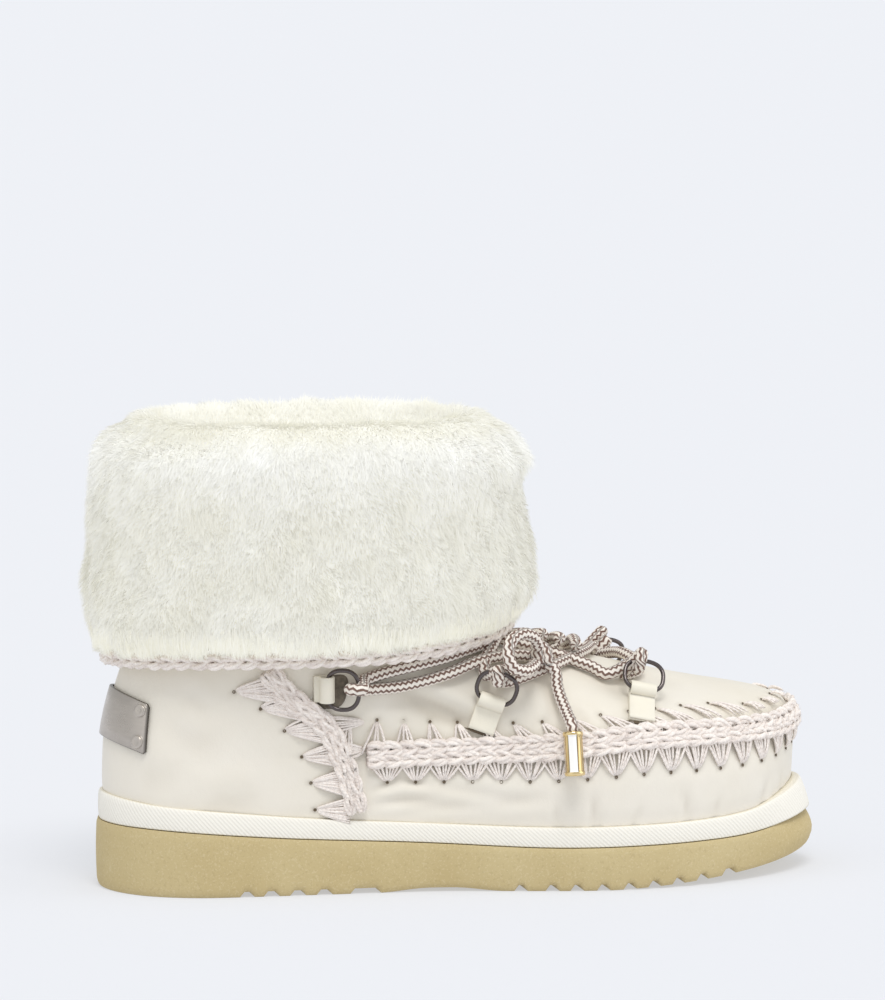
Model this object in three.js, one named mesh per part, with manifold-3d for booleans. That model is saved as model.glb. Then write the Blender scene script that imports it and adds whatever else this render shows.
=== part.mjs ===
// Mukluk boot for a right foot: flat platform sole, moccasin foot, shaft with a fold-down shearling cuff.
// Millimetres. +X points to the toe, +Y to the inner side of the foot, +Z up, the floor is Z = 0.
import * as THREE from 'three';
import { mergeVertices } from 'three/addons/utils/BufferGeometryUtils.js';
import Module from 'manifold-3d';

const wasm = await Module();
wasm.setup();

// Sole sizes
const soleLength = 270;
const heelWidth = 76;
const ballWidth = 99;
const heelHeight = 24.6;
const forefootHeight = 15.6;
const toeLift = 6.6;
const toeSpring = 7.5;
const springStart = 0.66;
const archRise = 1.4;
const soleEdgeRadius = 1.8;
const toeOverhang = 3.6;
const heelLugDepth = 1.9;
const forefootLugDepth = 2.2;
const lugSlope = 1.6;

// Platform band and footbed sizes
const bandHeight = 7.4;
const bandInset = 1.2;
const bandToeInset = 4.6;
const rimThickness = 1.4;
const seatDepth = 3;
const insoleThickness = 6;
const heelCupDepth = 1.6;

// Upper sizes
const upperWall = 2.6;
const apronHeight = 51;
const upperToeSetback = 4.6;
const ankleLength = 132;
const ankleWidth = 76;
const ankleBackX = -122.5;
const ankleBackHeight = 87;
const ankleFrontHeight = 90;
const legLength = 124;
const legWidth = 90;
const legBackX = -119;
const rimHeight = 166;
const legRoundness = 2.2;

// Cuff sizes
const cuffTop = 175;
const furDepth = 17.6;
const innerFurDepth = 9;
const cuffInsideReach = 0.6;
const lockWidth = 18;
const lockLength = 26;
const lockHeight = 2.6;
const lockRows = 3;
const locksPerRow = 10;

// Crochet sizes
const braidWidth = 9.6;
const ankleBraidWidth = 7.4;
const braidHeight = 3.4;
const hemBraidHeight = 4.8;
const hemBraidDepth = 4.4;
const hemBraidReach = 8.8;
const hemStitches = 24;

// Lacing hardware sizes
const tabWidth = 9.6;
const tabLeather = 1.8;
const eyeRadius = 1.8;
const eyeWall = 1;
const ringHalfWidth = 7.2;
const ringHalfLength = 6;
const ringWire = 0.8;
const ringShape = 3;
const ringShift = 0.3;
const ringTilt = 0.35;

// Lace sizes
const laceRadius = 2.2;
const knotRadius = 5;
const barrelRadius = 3.7;
const barrelLength = 16;

// Heel plate sizes
const plateHeight = 18.5;
const plateHalfArc = 27;
const plateThickness = 1.1;
const plateLevel = 1.38;
const plateDroop = 4;
const rivetRadius = 2.4;
const rivetHeight = 0.7;

// Small clearance that touching pieces keep
const gap = 0.3;

// Points round the foot in each ring of the wall, the platform and the footbed
const roundSteps = 50;

const heelX = -soleLength / 2;
const heelRadius = heelWidth / 2;

// Outline of the sole. Rows run from heel to toe.
// along: share of the sole length. heel, ball: half width as shares of heelWidth and of ballWidth.
const outlineRows = [
  { along: 0.02, heel: 0.245, ball: 0 },
  { along: 0.06, heel: 0.395, ball: 0 },
  { along: 0.12, heel: 0.482, ball: 0 },
  { along: 0.2, heel: 0.5, ball: 0 },
  { along: 0.3, heel: 0.493, ball: 0 },
  { along: 0.4, heel: 0.36, ball: 0.095 },
  { along: 0.47, heel: 0.2, ball: 0.23 },
  { along: 0.55, heel: 0.06, ball: 0.383 },
  { along: 0.62, heel: 0, ball: 0.473 },
  { along: 0.68, heel: 0, ball: 0.499 },
  { along: 0.74, heel: 0, ball: 0.498 },
  { along: 0.8, heel: 0, ball: 0.474 },
  { along: 0.86, heel: 0, ball: 0.425 },
  { along: 0.92, heel: 0, ball: 0.341 },
  { along: 0.96, heel: 0, ball: 0.252 },
  { along: 0.985, heel: 0, ball: 0.158 },
];

// Middle line of the sole, which swings to the inner side at the toe.
// sway: sideways place as a share of ballWidth.
const swayRows = [
  { along: 0, sway: 0 },
  { along: 0.2, sway: 0 },
  { along: 0.4, sway: -0.02 },
  { along: 0.5, sway: -0.03 },
  { along: 0.62, sway: -0.025 },
  { along: 0.7, sway: -0.01 },
  { along: 0.8, sway: 0.01 },
  { along: 0.9, sway: 0.04 },
  { along: 1, sway: 0.06 },
];

// Heights along the sole.
// wedge: share of the height from forefoot to heel. lift: share of toeLift. band: share of bandHeight.
// apron: height of the apron seam as a share of apronHeight.
const heightRows = [
  { along: 0, wedge: 1, lift: 0, band: 1.4, apron: 0.98 },
  { along: 0.056, wedge: 0.97, lift: 0, band: 1.18, apron: 0.98 },
  { along: 0.12, wedge: 0.85, lift: 0, band: 1.12, apron: 0.98 },
  { along: 0.185, wedge: 0.69, lift: 0, band: 1.09, apron: 0.98 },
  { along: 0.252, wedge: 0.54, lift: 0, band: 1.04, apron: 0.98 },
  { along: 0.389, wedge: 0.31, lift: 0, band: 0.96, apron: 0.985 },
  { along: 0.522, wedge: 0.08, lift: 0, band: 0.98, apron: 1 },
  { along: 0.6, wedge: 0, lift: 0, band: 1.01, apron: 1.014 },
  { along: 0.722, wedge: 0, lift: 0.03, band: 1.01, apron: 1.07 },
  { along: 0.796, wedge: 0, lift: 0.08, band: 1.03, apron: 1.07 },
  { along: 0.874, wedge: 0, lift: 0.19, band: 1.12, apron: 1.065 },
  { along: 0.933, wedge: 0, lift: 0.5, band: 1.3, apron: 1.065 },
  { along: 1, wedge: 0, lift: 1, band: 1.38, apron: 1.1 },
];

// Wall of the upper from the platform, up 0, to the apron seam, up 1.
// heel, ball, toe: how far the wall lies inside the sole outline, as shares of bandInset.
const wallRows = [
  { up: 0, heel: 2.42, ball: 2.42, toe: 2.9 },
  { up: 0.11, heel: 2.42, ball: 2.42, toe: 2.9 },
  { up: 0.3, heel: 2.1, ball: 1.8, toe: 2.7 },
  { up: 0.65, heel: 2.1, ball: 1.9, toe: 2.4 },
  { up: 1, heel: 2.3, ball: 4.2, toe: 2.8 },
];

// How the skin above the apron seam closes over the foot towards the leg, on the middle line of the toe.
// back: share of the way back. rise: share of the way up.
const vampRows = [
  { back: 0, rise: 0 },
  { back: 0.023, rise: 0.15 },
  { back: 0.074, rise: 0.25 },
  { back: 0.18, rise: 0.34 },
  { back: 0.31, rise: 0.42 },
  { back: 0.48, rise: 0.545 },
  { back: 0.67, rise: 0.7 },
  { back: 0.864, rise: 0.84 },
  { back: 1, rise: 1 },
];

// Which part of the leg each part of the foot runs up to. Shares of a half turn, from heel to toe.
const turnRows = [
  { foot: 0, leg: 0 },
  { foot: 0.18, leg: 0.205 },
  { foot: 0.295, leg: 0.397 },
  { foot: 0.391, leg: 0.577 },
  { foot: 0.48, leg: 0.667 },
  { foot: 0.557, leg: 0.734 },
  { foot: 0.645, leg: 0.842 },
  { foot: 0.765, leg: 0.922 },
  { foot: 1, leg: 1 },
];

// Lower edge of the cuff round the leg. turn: share of a half turn from the heel. height: above the floor.
const hemRows = [
  { turn: 0, height: 0.971 },
  { turn: 0.35, height: 0.994 },
  { turn: 0.6, height: 1.006 },
  { turn: 0.8, height: 1.054 },
  { turn: 1, height: 1.105 },
];

// Outside of the fur, from the hem, up 0, to the crest of the fold, up 1.
// out: share of furDepth in front of the leg.
const furRows = [
  { up: 0, out: 0.42 },
  { up: 0.02, out: 0.62 },
  { up: 0.06, out: 0.82 },
  { up: 0.13, out: 0.97 },
  { up: 0.26, out: 1 },
  { up: 0.5, out: 0.98 },
  { up: 0.74, out: 0.94 },
  { up: 0.84, out: 0.84 },
  { up: 0.91, out: 0.67 },
  { up: 0.96, out: 0.42 },
  { up: 0.99, out: 0.15 },
];

// Inside of the fur, from the crest down into the shaft. out: share of innerFurDepth, behind the leg's wall.
const liningRows = [
  { up: 1, out: 0.1 },
  { up: 0.985, out: 0.55 },
  { up: 0.93, out: 0.9 },
  { up: 0.8, out: 1 },
];

// Lacing rings, on both sides. turn and up: where the leather tab starts and where its fold holds the ring.
const tabRows = [
  { name: 'ankle', startTurn: 0.341, startUp: 1.66, endTurn: 0.35, endUp: 1.66 },
  { name: 'middle', startTurn: 0.504, startUp: 1.18, endTurn: 0.537, endUp: 1.45 },
  { name: 'front', startTurn: 0.652, startUp: 1.08, endTurn: 0.716, endUp: 1.31 },
];

// Braid over the ankle, from the cuff down to the platform.
const ankleBraidRows = [
  { turn: 0.3, up: 1.84 },
  { turn: 0.315, up: 1.66 },
  { turn: 0.333, up: 1.49 },
  { turn: 0.351, up: 1.34 },
  { turn: 0.366, up: 1.16 },
  { turn: 0.377, up: 0.94 },
  { turn: 0.384, up: 0.6 },
  { turn: 0.39, up: 0.24 },
];
const apronStartTurn = 0.4;

// Lace strands over the foot, as places on the upper's skin from ring to ring.
const laceBarRows = [
  { turn: 0.77, up: 1.47 },
  { turn: 0.82, up: 1.47 },
  { turn: 0.9, up: 1.51 },
  { turn: 1, up: 1.55 },
  { turn: 1.1, up: 1.54 },
  { turn: 1.18, up: 1.51 },
  { turn: 1.23, up: 1.47 },
];
const laceStrandRows = {
  underCuff: [
    { turn: 0.66, up: 1.925 },
    { turn: 0.78, up: 1.972 },
    { turn: 0.9, up: 1.99 },
    { turn: 1, up: 1.99 },
    { turn: 1.1, up: 1.99 },
    { turn: 1.22, up: 1.972 },
    { turn: 1.34, up: 1.925 },
  ],
  outerFront: [
    { turn: 0.737, up: 1.49 },
    { turn: 0.745, up: 1.57 },
    { turn: 0.745, up: 1.68 },
    { turn: 0.735, up: 1.8 },
    { turn: 0.68, up: 1.925 },
  ],
  innerFront: [
    { turn: 1.25, up: 1.49 },
    { turn: 1.16, up: 1.58 },
    { turn: 1.02, up: 1.66 },
    { turn: 0.88, up: 1.68 },
    { turn: 0.76, up: 1.67 },
    { turn: 0.655, up: 1.625 },
    { turn: 0.573, up: 1.59 },
  ],
  outerMiddle: [
    { turn: 0.56, up: 1.67 },
    { turn: 0.575, up: 1.77 },
    { turn: 0.62, up: 1.88 },
    { turn: 0.68, up: 1.935 },
  ],
  innerMiddleFront: [
    { turn: 1.42, up: 1.6 },
    { turn: 1.38, up: 1.78 },
    { turn: 1.32, up: 1.93 },
  ],
  innerMiddleBack: [
    { turn: 1.44, up: 1.67 },
    { turn: 1.425, up: 1.77 },
    { turn: 1.38, up: 1.88 },
    { turn: 1.32, up: 1.935 },
  ],
  outerAnkleHigh: [
    { turn: 0.382, up: 1.74 },
    { turn: 0.46, up: 1.84 },
    { turn: 0.51, up: 1.865 },
    { turn: 0.56, up: 1.89 },
    { turn: 0.61, up: 1.91 },
    { turn: 0.68, up: 1.93 },
  ],
  innerAnkleHigh: [
    { turn: 1.618, up: 1.74 },
    { turn: 1.54, up: 1.84 },
    { turn: 1.49, up: 1.865 },
    { turn: 1.44, up: 1.89 },
    { turn: 1.39, up: 1.91 },
    { turn: 1.32, up: 1.93 },
  ],
  outerAnkleLow: [
    { turn: 0.383, up: 1.64 },
    { turn: 0.43, up: 1.65 },
    { turn: 0.5, up: 1.72 },
    { turn: 0.57, up: 1.79 },
    { turn: 0.63, up: 1.78 },
    { turn: 0.68, up: 1.72 },
  ],
  innerAnkleLow: [
    { turn: 1.617, up: 1.64 },
    { turn: 1.57, up: 1.65 },
    { turn: 1.51, up: 1.71 },
    { turn: 1.46, up: 1.78 },
    { turn: 1.42, up: 1.85 },
    { turn: 1.37, up: 1.9 },
    { turn: 1.32, up: 1.93 },
  ],
};

// The knot's place on the upper, and its height above the skin
const knotTurn = 0.645;
const knotUp = 1.655;
const knotLift = 8.6;

// Bow loops, in millimetres from the knot's middle.
const outerLoopPoints = [
  [-1.8, -3.7, 2.6],
  [-4.5, -7.6, 7.4],
  [-9.5, -11.2, 9.4],
  [-14.3, -14.5, 7.4],
  [-16, -16.5, 2.5],
  [-14, -16, -2.2],
  [-9.5, -13.5, -3.8],
  [-6, -9.5, -3.4],
  [-3.2, -4.5, -2.2],
];

// Bow loop over the foot, as places on the upper's skin with their height above it.
const innerLoopRows = [
  { turn: 0.72, up: 1.77, lift: 9.8 },
  { turn: 0.8, up: 1.84, lift: 6.4 },
  { turn: 0.9, up: 1.88, lift: 3.4 },
  { turn: 1, up: 1.885, lift: 2.9 },
  { turn: 1.14, up: 1.86, lift: 3 },
  { turn: 1.24, up: 1.82, lift: 3.2 },
  { turn: 1.3, up: 1.77, lift: 3.6 },
  { turn: 1.28, up: 1.71, lift: 3.6 },
  { turn: 1.2, up: 1.73, lift: 3.2 },
  { turn: 1.1, up: 1.79, lift: 2.9 },
  { turn: 1, up: 1.825, lift: 2.9 },
  { turn: 0.9, up: 1.815, lift: 3.4 },
  { turn: 0.81, up: 1.77, lift: 7 },
  { turn: 0.735, up: 1.71, lift: 9.8 },
];

// Loose ends, as places on the upper's skin with their height above it.
const outerEndRows = [
  { turn: 0.642, up: 1.545, lift: 5.6 },
  { turn: 0.626, up: 1.46, lift: 3.4 },
  { turn: 0.61, up: 1.35, lift: 3.4 },
  { turn: 0.597, up: 1.23, lift: 5.2 },
  { turn: 0.588, up: 1.13, lift: 9 },
];
const innerEndRows = [
  { turn: 0.745, up: 1.65, lift: 8.8 },
  { turn: 0.82, up: 1.71, lift: 7.6 },
  { turn: 0.9, up: 1.74, lift: 4.4 },
  { turn: 1, up: 1.74, lift: 2.9 },
  { turn: 1.12, up: 1.68, lift: 3 },
  { turn: 1.24, up: 1.6, lift: 3.2 },
  { turn: 1.33, up: 1.48, lift: 3.4 },
  { turn: 1.38, up: 1.34, lift: 3.6 },
  { turn: 1.4, up: 1.22, lift: 5.4 },
  { turn: 1.41, up: 1.13, lift: 9 },
];

// Tread recesses, as shares of the sole length: where each starts and ends, and whether it is on the heel.
const recessRows = [
  { start: 0.172, end: 0.192, heel: true },
  { start: 0.204, end: 0.226, heel: true },
  { start: 0.24, end: 0.262, heel: true },
  { start: 0.276, end: 0.298, heel: true },
  { start: 0.322, end: 0.364, heel: true },
  { start: 0.54, end: 0.558, heel: false },
  { start: 0.581, end: 0.6, heel: false },
  { start: 0.614, end: 0.633, heel: false },
  { start: 0.65, end: 0.669, heel: false },
  { start: 0.687, end: 0.706, heel: false },
  { start: 0.722, end: 0.741, heel: false },
  { start: 0.757, end: 0.776, heel: false },
  { start: 0.793, end: 0.812, heel: false },
  { start: 0.832, end: 0.856, heel: false },
];

// Smooth curve through a table: cubic pieces whose slopes come from the neighbouring rows.
function curveThrough(xs, ys) {
  const last = xs.length - 1;
  const slopes = xs.map((x, i) => {
    const a = Math.max(0, i - 1);
    const b = Math.min(last, i + 1);
    return (ys[b] - ys[a]) / (xs[b] - xs[a]);
  });
  return (x) => {
    if (x <= xs[0]) return ys[0];
    if (x >= xs[last]) return ys[last];
    let i = 0;
    while (x > xs[i + 1]) i += 1;
    const span = xs[i + 1] - xs[i];
    const t = (x - xs[i]) / span;
    const rise = ys[i + 1] - ys[i];
    const a = slopes[i] * span - rise;
    const b = rise - slopes[i + 1] * span;
    return ys[i] + rise * t + t * (1 - t) * (a * (1 - t) + b * t);
  };
}

function column(rows, input, output) {
  return curveThrough(rows.map((row) => row[input]), rows.map((row) => row[output]));
}

function mix(a, b, share) {
  return a + (b - a) * share;
}

function ease(from, to, value) {
  const t = Math.min(1, Math.max(0, (value - from) / (to - from)));
  return t * t * (3 - 2 * t);
}

const sway = column(swayRows, 'along', 'sway');
const wedge = column(heightRows, 'along', 'wedge');
const lift = column(heightRows, 'along', 'lift');
const band = column(heightRows, 'along', 'band');
const apron = column(heightRows, 'along', 'apron');
const wallHeel = column(wallRows, 'up', 'heel');
const wallBall = column(wallRows, 'up', 'ball');
const wallToe = column(wallRows, 'up', 'toe');
const vampRise = column(vampRows, 'back', 'rise');
const furAt = column(furRows, 'up', 'out');
const legTurn = column(turnRows, 'foot', 'leg');
const hemShare = column(hemRows, 'turn', 'height');

// Places along the sole and turns round it are tied: turn 0 is the heel, 1 the toe, and the sign is the side.
function alongOf(turn) {
  return (1 - Math.cos(Math.PI * turn)) / 2;
}

function turnOf(along) {
  return Math.acos(1 - 2 * along) / Math.PI;
}

const halfTurns = [0];
const halfWidths = [0];
for (const row of outlineRows) {
  halfTurns.push(turnOf(row.along));
  halfWidths.push(row.heel * heelWidth + row.ball * ballWidth);
}
const toeStepIn = halfTurns[halfTurns.length - 1];
const toeStepWidth = halfWidths[halfWidths.length - 1];
halfTurns.unshift(-halfTurns[1]);
halfWidths.unshift(-halfWidths[1]);
halfTurns.push(1, 2 - toeStepIn);
halfWidths.push(0, -toeStepWidth);
const halfWidth = curveThrough(halfTurns, halfWidths);

// Point of the sole outline. Turns from 0 to 1 run along the outer side, from 1 to 2 back along the inner side.
function outlinePoint(turn) {
  const wrapped = ((turn % 2) + 2) % 2;
  const outer = wrapped <= 1;
  const half = halfWidth(outer ? wrapped : 2 - wrapped);
  const along = alongOf(wrapped);
  return new THREE.Vector2(heelX + soleLength * along, sway(along) * ballWidth + (outer ? -half : half));
}

function outlineInward(turn) {
  const step = 0.004;
  const ahead = outlinePoint(turn + step);
  const behind = outlinePoint(turn - step);
  const tangent = ahead.sub(behind).normalize();
  return new THREE.Vector2(-tangent.y, tangent.x);
}

function insetPoint(turn, inset, height) {
  const point = outlinePoint(turn).addScaledVector(outlineInward(turn), inset);
  return new THREE.Vector3(point.x, point.y, height);
}

// How much of the toe setback applies at a place along the sole.
function toeShare(along) {
  return ease(0.88, 1, along);
}

function soleTop(along) {
  return forefootHeight + (heelHeight - forefootHeight) * wedge(along) + toeLift * lift(along);
}

function bandTop(along) {
  return soleTop(along) + bandHeight * band(along);
}

function seatHeight(along) {
  return bandTop(along) - seatDepth;
}

function apronLine(along) {
  return apronHeight * apron(along);
}

// Height of the sole's underside: arch at the waist and spring at the toe.
function treadHeight(along) {
  const spring = toeSpring * Math.max(0, (along - springStart) / (1 - springStart)) ** 1.6;
  const arch = archRise * ease(0.36, 0.43, along) * (1 - ease(0.46, 0.53, along));
  return spring + arch;
}

// Depth of the tread recesses, each with sloping end walls.
function recessAt(along) {
  const slope = lugSlope / soleLength;
  let depth = 0;
  for (const row of recessRows) {
    const inside = Math.min(along - row.start, row.end - along) / slope;
    const full = row.heel ? heelLugDepth : forefootLugDepth;
    depth = Math.max(depth, full * Math.min(1, inside));
  }
  return depth;
}

// Turns where the sole is cut into sections: even steps, with an extra one at each edge of each recess.
function soleTurns() {
  const slope = lugSlope / soleLength;
  const alongs = [];
  for (const row of recessRows) {
    alongs.push(row.start, row.start + slope, row.end - slope, row.end);
  }
  const steps = 24;
  for (let i = 1; i < steps; i += 1) {
    const along = alongOf(i / steps);
    if (alongs.every((other) => Math.abs(other - along) > 2 * slope)) alongs.push(along);
  }
  alongs.sort((a, b) => a - b);
  const outer = alongs.map(turnOf);
  const inner = outer.map((turn) => 2 - turn).reverse();
  return [0, ...outer, 1, ...inner];
}

function evenTurns(count) {
  return Array.from({ length: count }, (_, i) => (2 * i) / count);
}

// Closed solid through rings of points. Ends are joined in a loop, or closed across by rungs or by a fan.
function skin(rings, ends) {
  const size = rings[0].length;
  const positions = [];
  rings.forEach((ring) => ring.forEach((p) => positions.push(p.x, p.y, p.z)));
  const index = [];
  const count = rings.length;
  const bands = ends === 'loop' ? count : count - 1;
  for (let j = 0; j < bands; j += 1) {
    const low = j * size;
    const high = ((j + 1) % count) * size;
    for (let i = 0; i < size; i += 1) {
      const next = (i + 1) % size;
      index.push(low + i, low + next, high + next, low + i, high + next, high + i);
    }
  }
  const closeByRungs = (start, up) => {
    for (let i = 0; i < size / 2; i += 1) {
      const a = start + i;
      const b = start + i + 1;
      const c = start + size - i - 1;
      const d = start + ((size - i) % size);
      if (b !== c) index.push(...(up ? [a, b, c] : [a, c, b]));
      if (a !== d) index.push(...(up ? [a, c, d] : [a, d, c]));
    }
  };
  const closeByFan = (start, up) => {
    for (let i = 1; i < size - 1; i += 1) {
      const a = start + i;
      index.push(...(up ? [start, a, a + 1] : [start, a + 1, a]));
    }
  };
  const top = (count - 1) * size;
  if (ends === 'rungs') {
    closeByRungs(0, false);
    closeByRungs(top, true);
  }
  if (ends === 'fan') {
    closeByFan(0, false);
    closeByFan(top, true);
  }
  const geometry = new THREE.BufferGeometry();
  geometry.setAttribute('position', new THREE.Float32BufferAttribute(positions, 3));
  geometry.setIndex(facingOut(positions, index));
  geometry.computeVertexNormals();
  return geometry;
}

// Turns every face over if the solid's volume comes out negative.
function facingOut(positions, index) {
  const corner = (i) => new THREE.Vector3().fromArray(positions, 3 * i);
  let volume = 0;
  for (let i = 0; i < index.length; i += 3) {
    volume += corner(index[i]).dot(corner(index[i + 1]).cross(corner(index[i + 2])));
  }
  if (volume > 0) return index;
  const turned = [];
  for (let i = 0; i < index.length; i += 3) {
    turned.push(index[i], index[i + 2], index[i + 1]);
  }
  return turned;
}

function ring(turns, pointAt) {
  return turns.map(pointAt);
}

// Outsole: foam wedge with a rounded lower edge, a toe that leans out and cross recesses underneath.
function outsoleGeometry() {
  const turns = soleTurns();
  const level = (inset, toeInset, heightAt) => ring(turns, (turn) => {
    const along = alongOf(turn);
    return insetPoint(turn, inset + toeInset * toeShare(along), heightAt(along));
  });
  const ground = (along) => treadHeight(along) + recessAt(along);
  const shoulder = (along) => mix(ground(along), soleTop(along), 0.16);
  const nose = (along) => mix(treadHeight(along), soleTop(along), 0.45);
  return skin([
    level(soleEdgeRadius, 0.5 * toeOverhang, ground),
    level(0.2 * soleEdgeRadius, 0.3 * toeOverhang, shoulder),
    level(0, 0, nose),
    level(0.4 * bandInset, toeOverhang, soleTop),
  ], 'rungs');
}

// Platform: wrapped band round the edge, with a seat inside its rim for the upper and the footbed.
function midsoleGeometry() {
  const turns = evenTurns(roundSteps);
  const level = (inset, toeInset, heightAt) => ring(turns, (turn) => {
    const along = alongOf(turn);
    return insetPoint(turn, inset + toeInset * toeShare(along), heightAt(along));
  });
  const top = bandInset + rimThickness;
  return skin([
    level(bandInset, bandToeInset - bandInset, (along) => soleTop(along) + gap),
    level(bandInset, bandToeInset, (along) => bandTop(along)),
    level(top, bandToeInset, (along) => bandTop(along)),
    level(top, bandToeInset, seatHeight),
  ], 'rungs');
}

// Wall of the upper below the apron seam.
function wallPoint(turn, up) {
  const along = alongOf(turn);
  const forefoot = ease(0.3, 0.55, along);
  const toe = toeShare(along);
  const side = mix(wallHeel(up), wallBall(up), forefoot);
  const inset = bandInset * mix(side, wallToe(up), toe) + upperToeSetback * toe;
  const foot = seatHeight(along) + gap;
  return insetPoint(turn, inset, mix(foot, apronLine(along), up));
}

// Oval of the leg: level 0 is the ankle, 1 the rim of the shaft.
function legPoint(turn, level) {
  const length = mix(ankleLength, legLength, level);
  const width = mix(ankleWidth, legWidth, level);
  const back = mix(ankleBackX, legBackX, level);
  const wrapped = ((turn % 2) + 2) % 2;
  const c = Math.cos(Math.PI * wrapped);
  const s = Math.sin(Math.PI * wrapped);
  const power = 2 / legRoundness;
  const x = back + (length / 2) * (1 - Math.sign(c) * Math.abs(c) ** power);
  const y = -(width / 2) * Math.sign(s) * Math.abs(s) ** power;
  const ankle = mix(ankleBackHeight, ankleFrontHeight, alongOf(wrapped));
  return new THREE.Vector3(x, y, mix(ankle, rimHeight, level));
}

function footToLeg(turn) {
  const wrapped = ((turn % 2) + 2) % 2;
  return wrapped <= 1 ? legTurn(wrapped) : 2 - legTurn(2 - wrapped);
}

// Skin between the apron seam, up 0, and the ankle, up 1: the plug over the toes and the quarter behind it.
function vampPoint(turn, up) {
  const along = alongOf(turn);
  const from = wallPoint(turn, 1);
  const to = legPoint(footToLeg(turn), 0);
  const front = ease(0.55, 1, along);
  const back = 1 - ease(0, 0.2, along);
  const inward = mix(up, up ** 1.6, back);
  const rise = mix(up, vampRise(up), front);
  return new THREE.Vector3(mix(from.x, to.x, inward), mix(from.y, to.y, inward), mix(from.z, to.z, rise));
}

// Outer skin of the whole upper: 0 platform, 1 apron seam, 2 ankle, 3 rim.
function upperPoint(turn, up) {
  if (up <= 1) return wallPoint(turn, up);
  if (up <= 2) return vampPoint(turn, up - 1);
  return legPoint(footToLeg(turn), up - 2);
}

// Direction out of the upper's skin.
function upperOutward(turn, up) {
  const step = 0.006;
  const low = Math.max(0, up - step);
  const high = Math.min(3, up + step);
  const along = upperPoint(turn + step, up).sub(upperPoint(turn - step, up));
  const upward = upperPoint(turn, high).sub(upperPoint(turn, low));
  return along.cross(upward).normalize();
}

function offUpper(turn, up, distance) {
  return upperPoint(turn, up).addScaledVector(upperOutward(turn, up), distance);
}

// Upper: one leather wall, open at the rim and underneath.
function upperGeometry() {
  const turns = evenTurns(roundSteps);
  const outerLevels = [0, 0.11, 0.3, 0.65, 1, 1.04, 1.1, 1.22, 1.4, 1.6, 1.8, 1.92, 2, 3];
  const innerLevels = [0, 0.3, 0.65, 1, 1.15, 1.6, 2, 3];
  const outer = outerLevels.map((up) => ring(turns, (turn) => upperPoint(turn, up)));
  const inner = innerLevels.map((up) => ring(turns, (turn) => {
    const point = offUpper(turn, up, -upperWall);
    if (up === 0 || up === 3) point.z = upperPoint(turn, up).z;
    return point;
  }));
  return skin([...outer, ...inner.reverse()], 'loop');
}

// Footbed: shearling insole with a shallow heel cup.
function insoleGeometry() {
  const turns = evenTurns(roundSteps);
  const edge = bandInset + rimThickness + upperWall + 3 * gap;
  const level = (inset, rise) => ring(turns, (turn) => {
    const along = alongOf(turn);
    const cup = heelCupDepth * (1 - ease(0.05, 0.35, along));
    const toe = (upperToeSetback + upperWall) * toeShare(along);
    const rim = inset < edge + 1 ? 0 : cup;
    return insetPoint(turn, inset + toe, seatHeight(along) + gap + rise - rim);
  });
  return skin([
    level(edge, 0),
    level(edge, insoleThickness),
    level(edge + heelRadius / 4, insoleThickness),
  ], 'rungs');
}

// Moves a place on the upper's skin by a distance along it, in a given direction.
function stepAlong(turn, up, direction, distance) {
  const step = 0.004;
  const here = upperPoint(turn, up);
  const round = upperPoint(turn + step, up).sub(here).divideScalar(step);
  const high = Math.min(3, up + step);
  const rise = upperPoint(turn, high).sub(here).divideScalar(high - up);
  const rr = round.dot(round);
  const ru = round.dot(rise);
  const uu = rise.dot(rise);
  const dr = direction.dot(round) * distance;
  const du = direction.dot(rise) * distance;
  const scale = rr * uu - ru * ru;
  return { turn: turn + (dr * uu - du * ru) / scale, up: up + (du * rr - dr * ru) / scale };
}

// Two chains of crochet side by side on the upper's skin, along a path of places on it.
const braidSection = [
  { across: -0.5, height: 0 },
  { across: -0.47, height: 0.55 },
  { across: -0.25, height: 1 },
  { across: 0, height: 0.62 },
  { across: 0.25, height: 1 },
  { across: 0.47, height: 0.55 },
  { across: 0.5, height: 0 },
  { across: 0, height: 0 },
];

function braidGeometry(path, width) {
  const rings = path.map((place, i) => {
    const before = path[Math.max(0, i - 1)];
    const after = path[Math.min(path.length - 1, i + 1)];
    const forward = upperPoint(after.turn, after.up).sub(upperPoint(before.turn, before.up));
    const sideways = forward.cross(upperOutward(place.turn, place.up)).normalize();
    const twist = i % 2 === 0 ? 0.06 : -0.06;
    return braidSection.map((row) => {
      const ridge = row.height === 1 ? twist : 0;
      const spot = stepAlong(place.turn, place.up, sideways, width * (row.across + ridge));
      return offUpper(spot.turn, spot.up, 2 * gap + braidHeight * (row.height + ridge));
    });
  });
  return skin(rings, 'fan');
}

function ankleBraidGeometry(inner) {
  const count = 15;
  const steps = ankleBraidRows.map((row, i) => i);
  const turnAt = curveThrough(steps, ankleBraidRows.map((row) => row.turn));
  const upAt = curveThrough(steps, ankleBraidRows.map((row) => row.up));
  const last = steps.length - 1;
  const path = Array.from({ length: count }, (_, i) => {
    const step = (last * i) / (count - 1);
    return { turn: inner ? 2 - turnAt(step) : turnAt(step), up: upAt(step) };
  });
  return braidGeometry(path, ankleBraidWidth);
}

function apronBraidGeometry() {
  const count = 42;
  const path = Array.from({ length: count }, (_, i) => {
    return { turn: mix(apronStartTurn, 2 - apronStartTurn, i / (count - 1)), up: 1 };
  });
  return braidGeometry(path, braidWidth);
}

// Place in front of the leg's skin, at a height of its own.
function offLeg(turn, height, distance) {
  const level = Math.max(0, (height - ankleBackHeight) / (rimHeight - ankleBackHeight));
  const step = 0.01;
  const ahead = legPoint(turn + step, level);
  const tangent = ahead.sub(legPoint(turn - step, level)).setZ(0).normalize();
  const point = legPoint(turn, level);
  return new THREE.Vector3(point.x + tangent.y * distance, point.y - tangent.x * distance, height);
}

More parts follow.
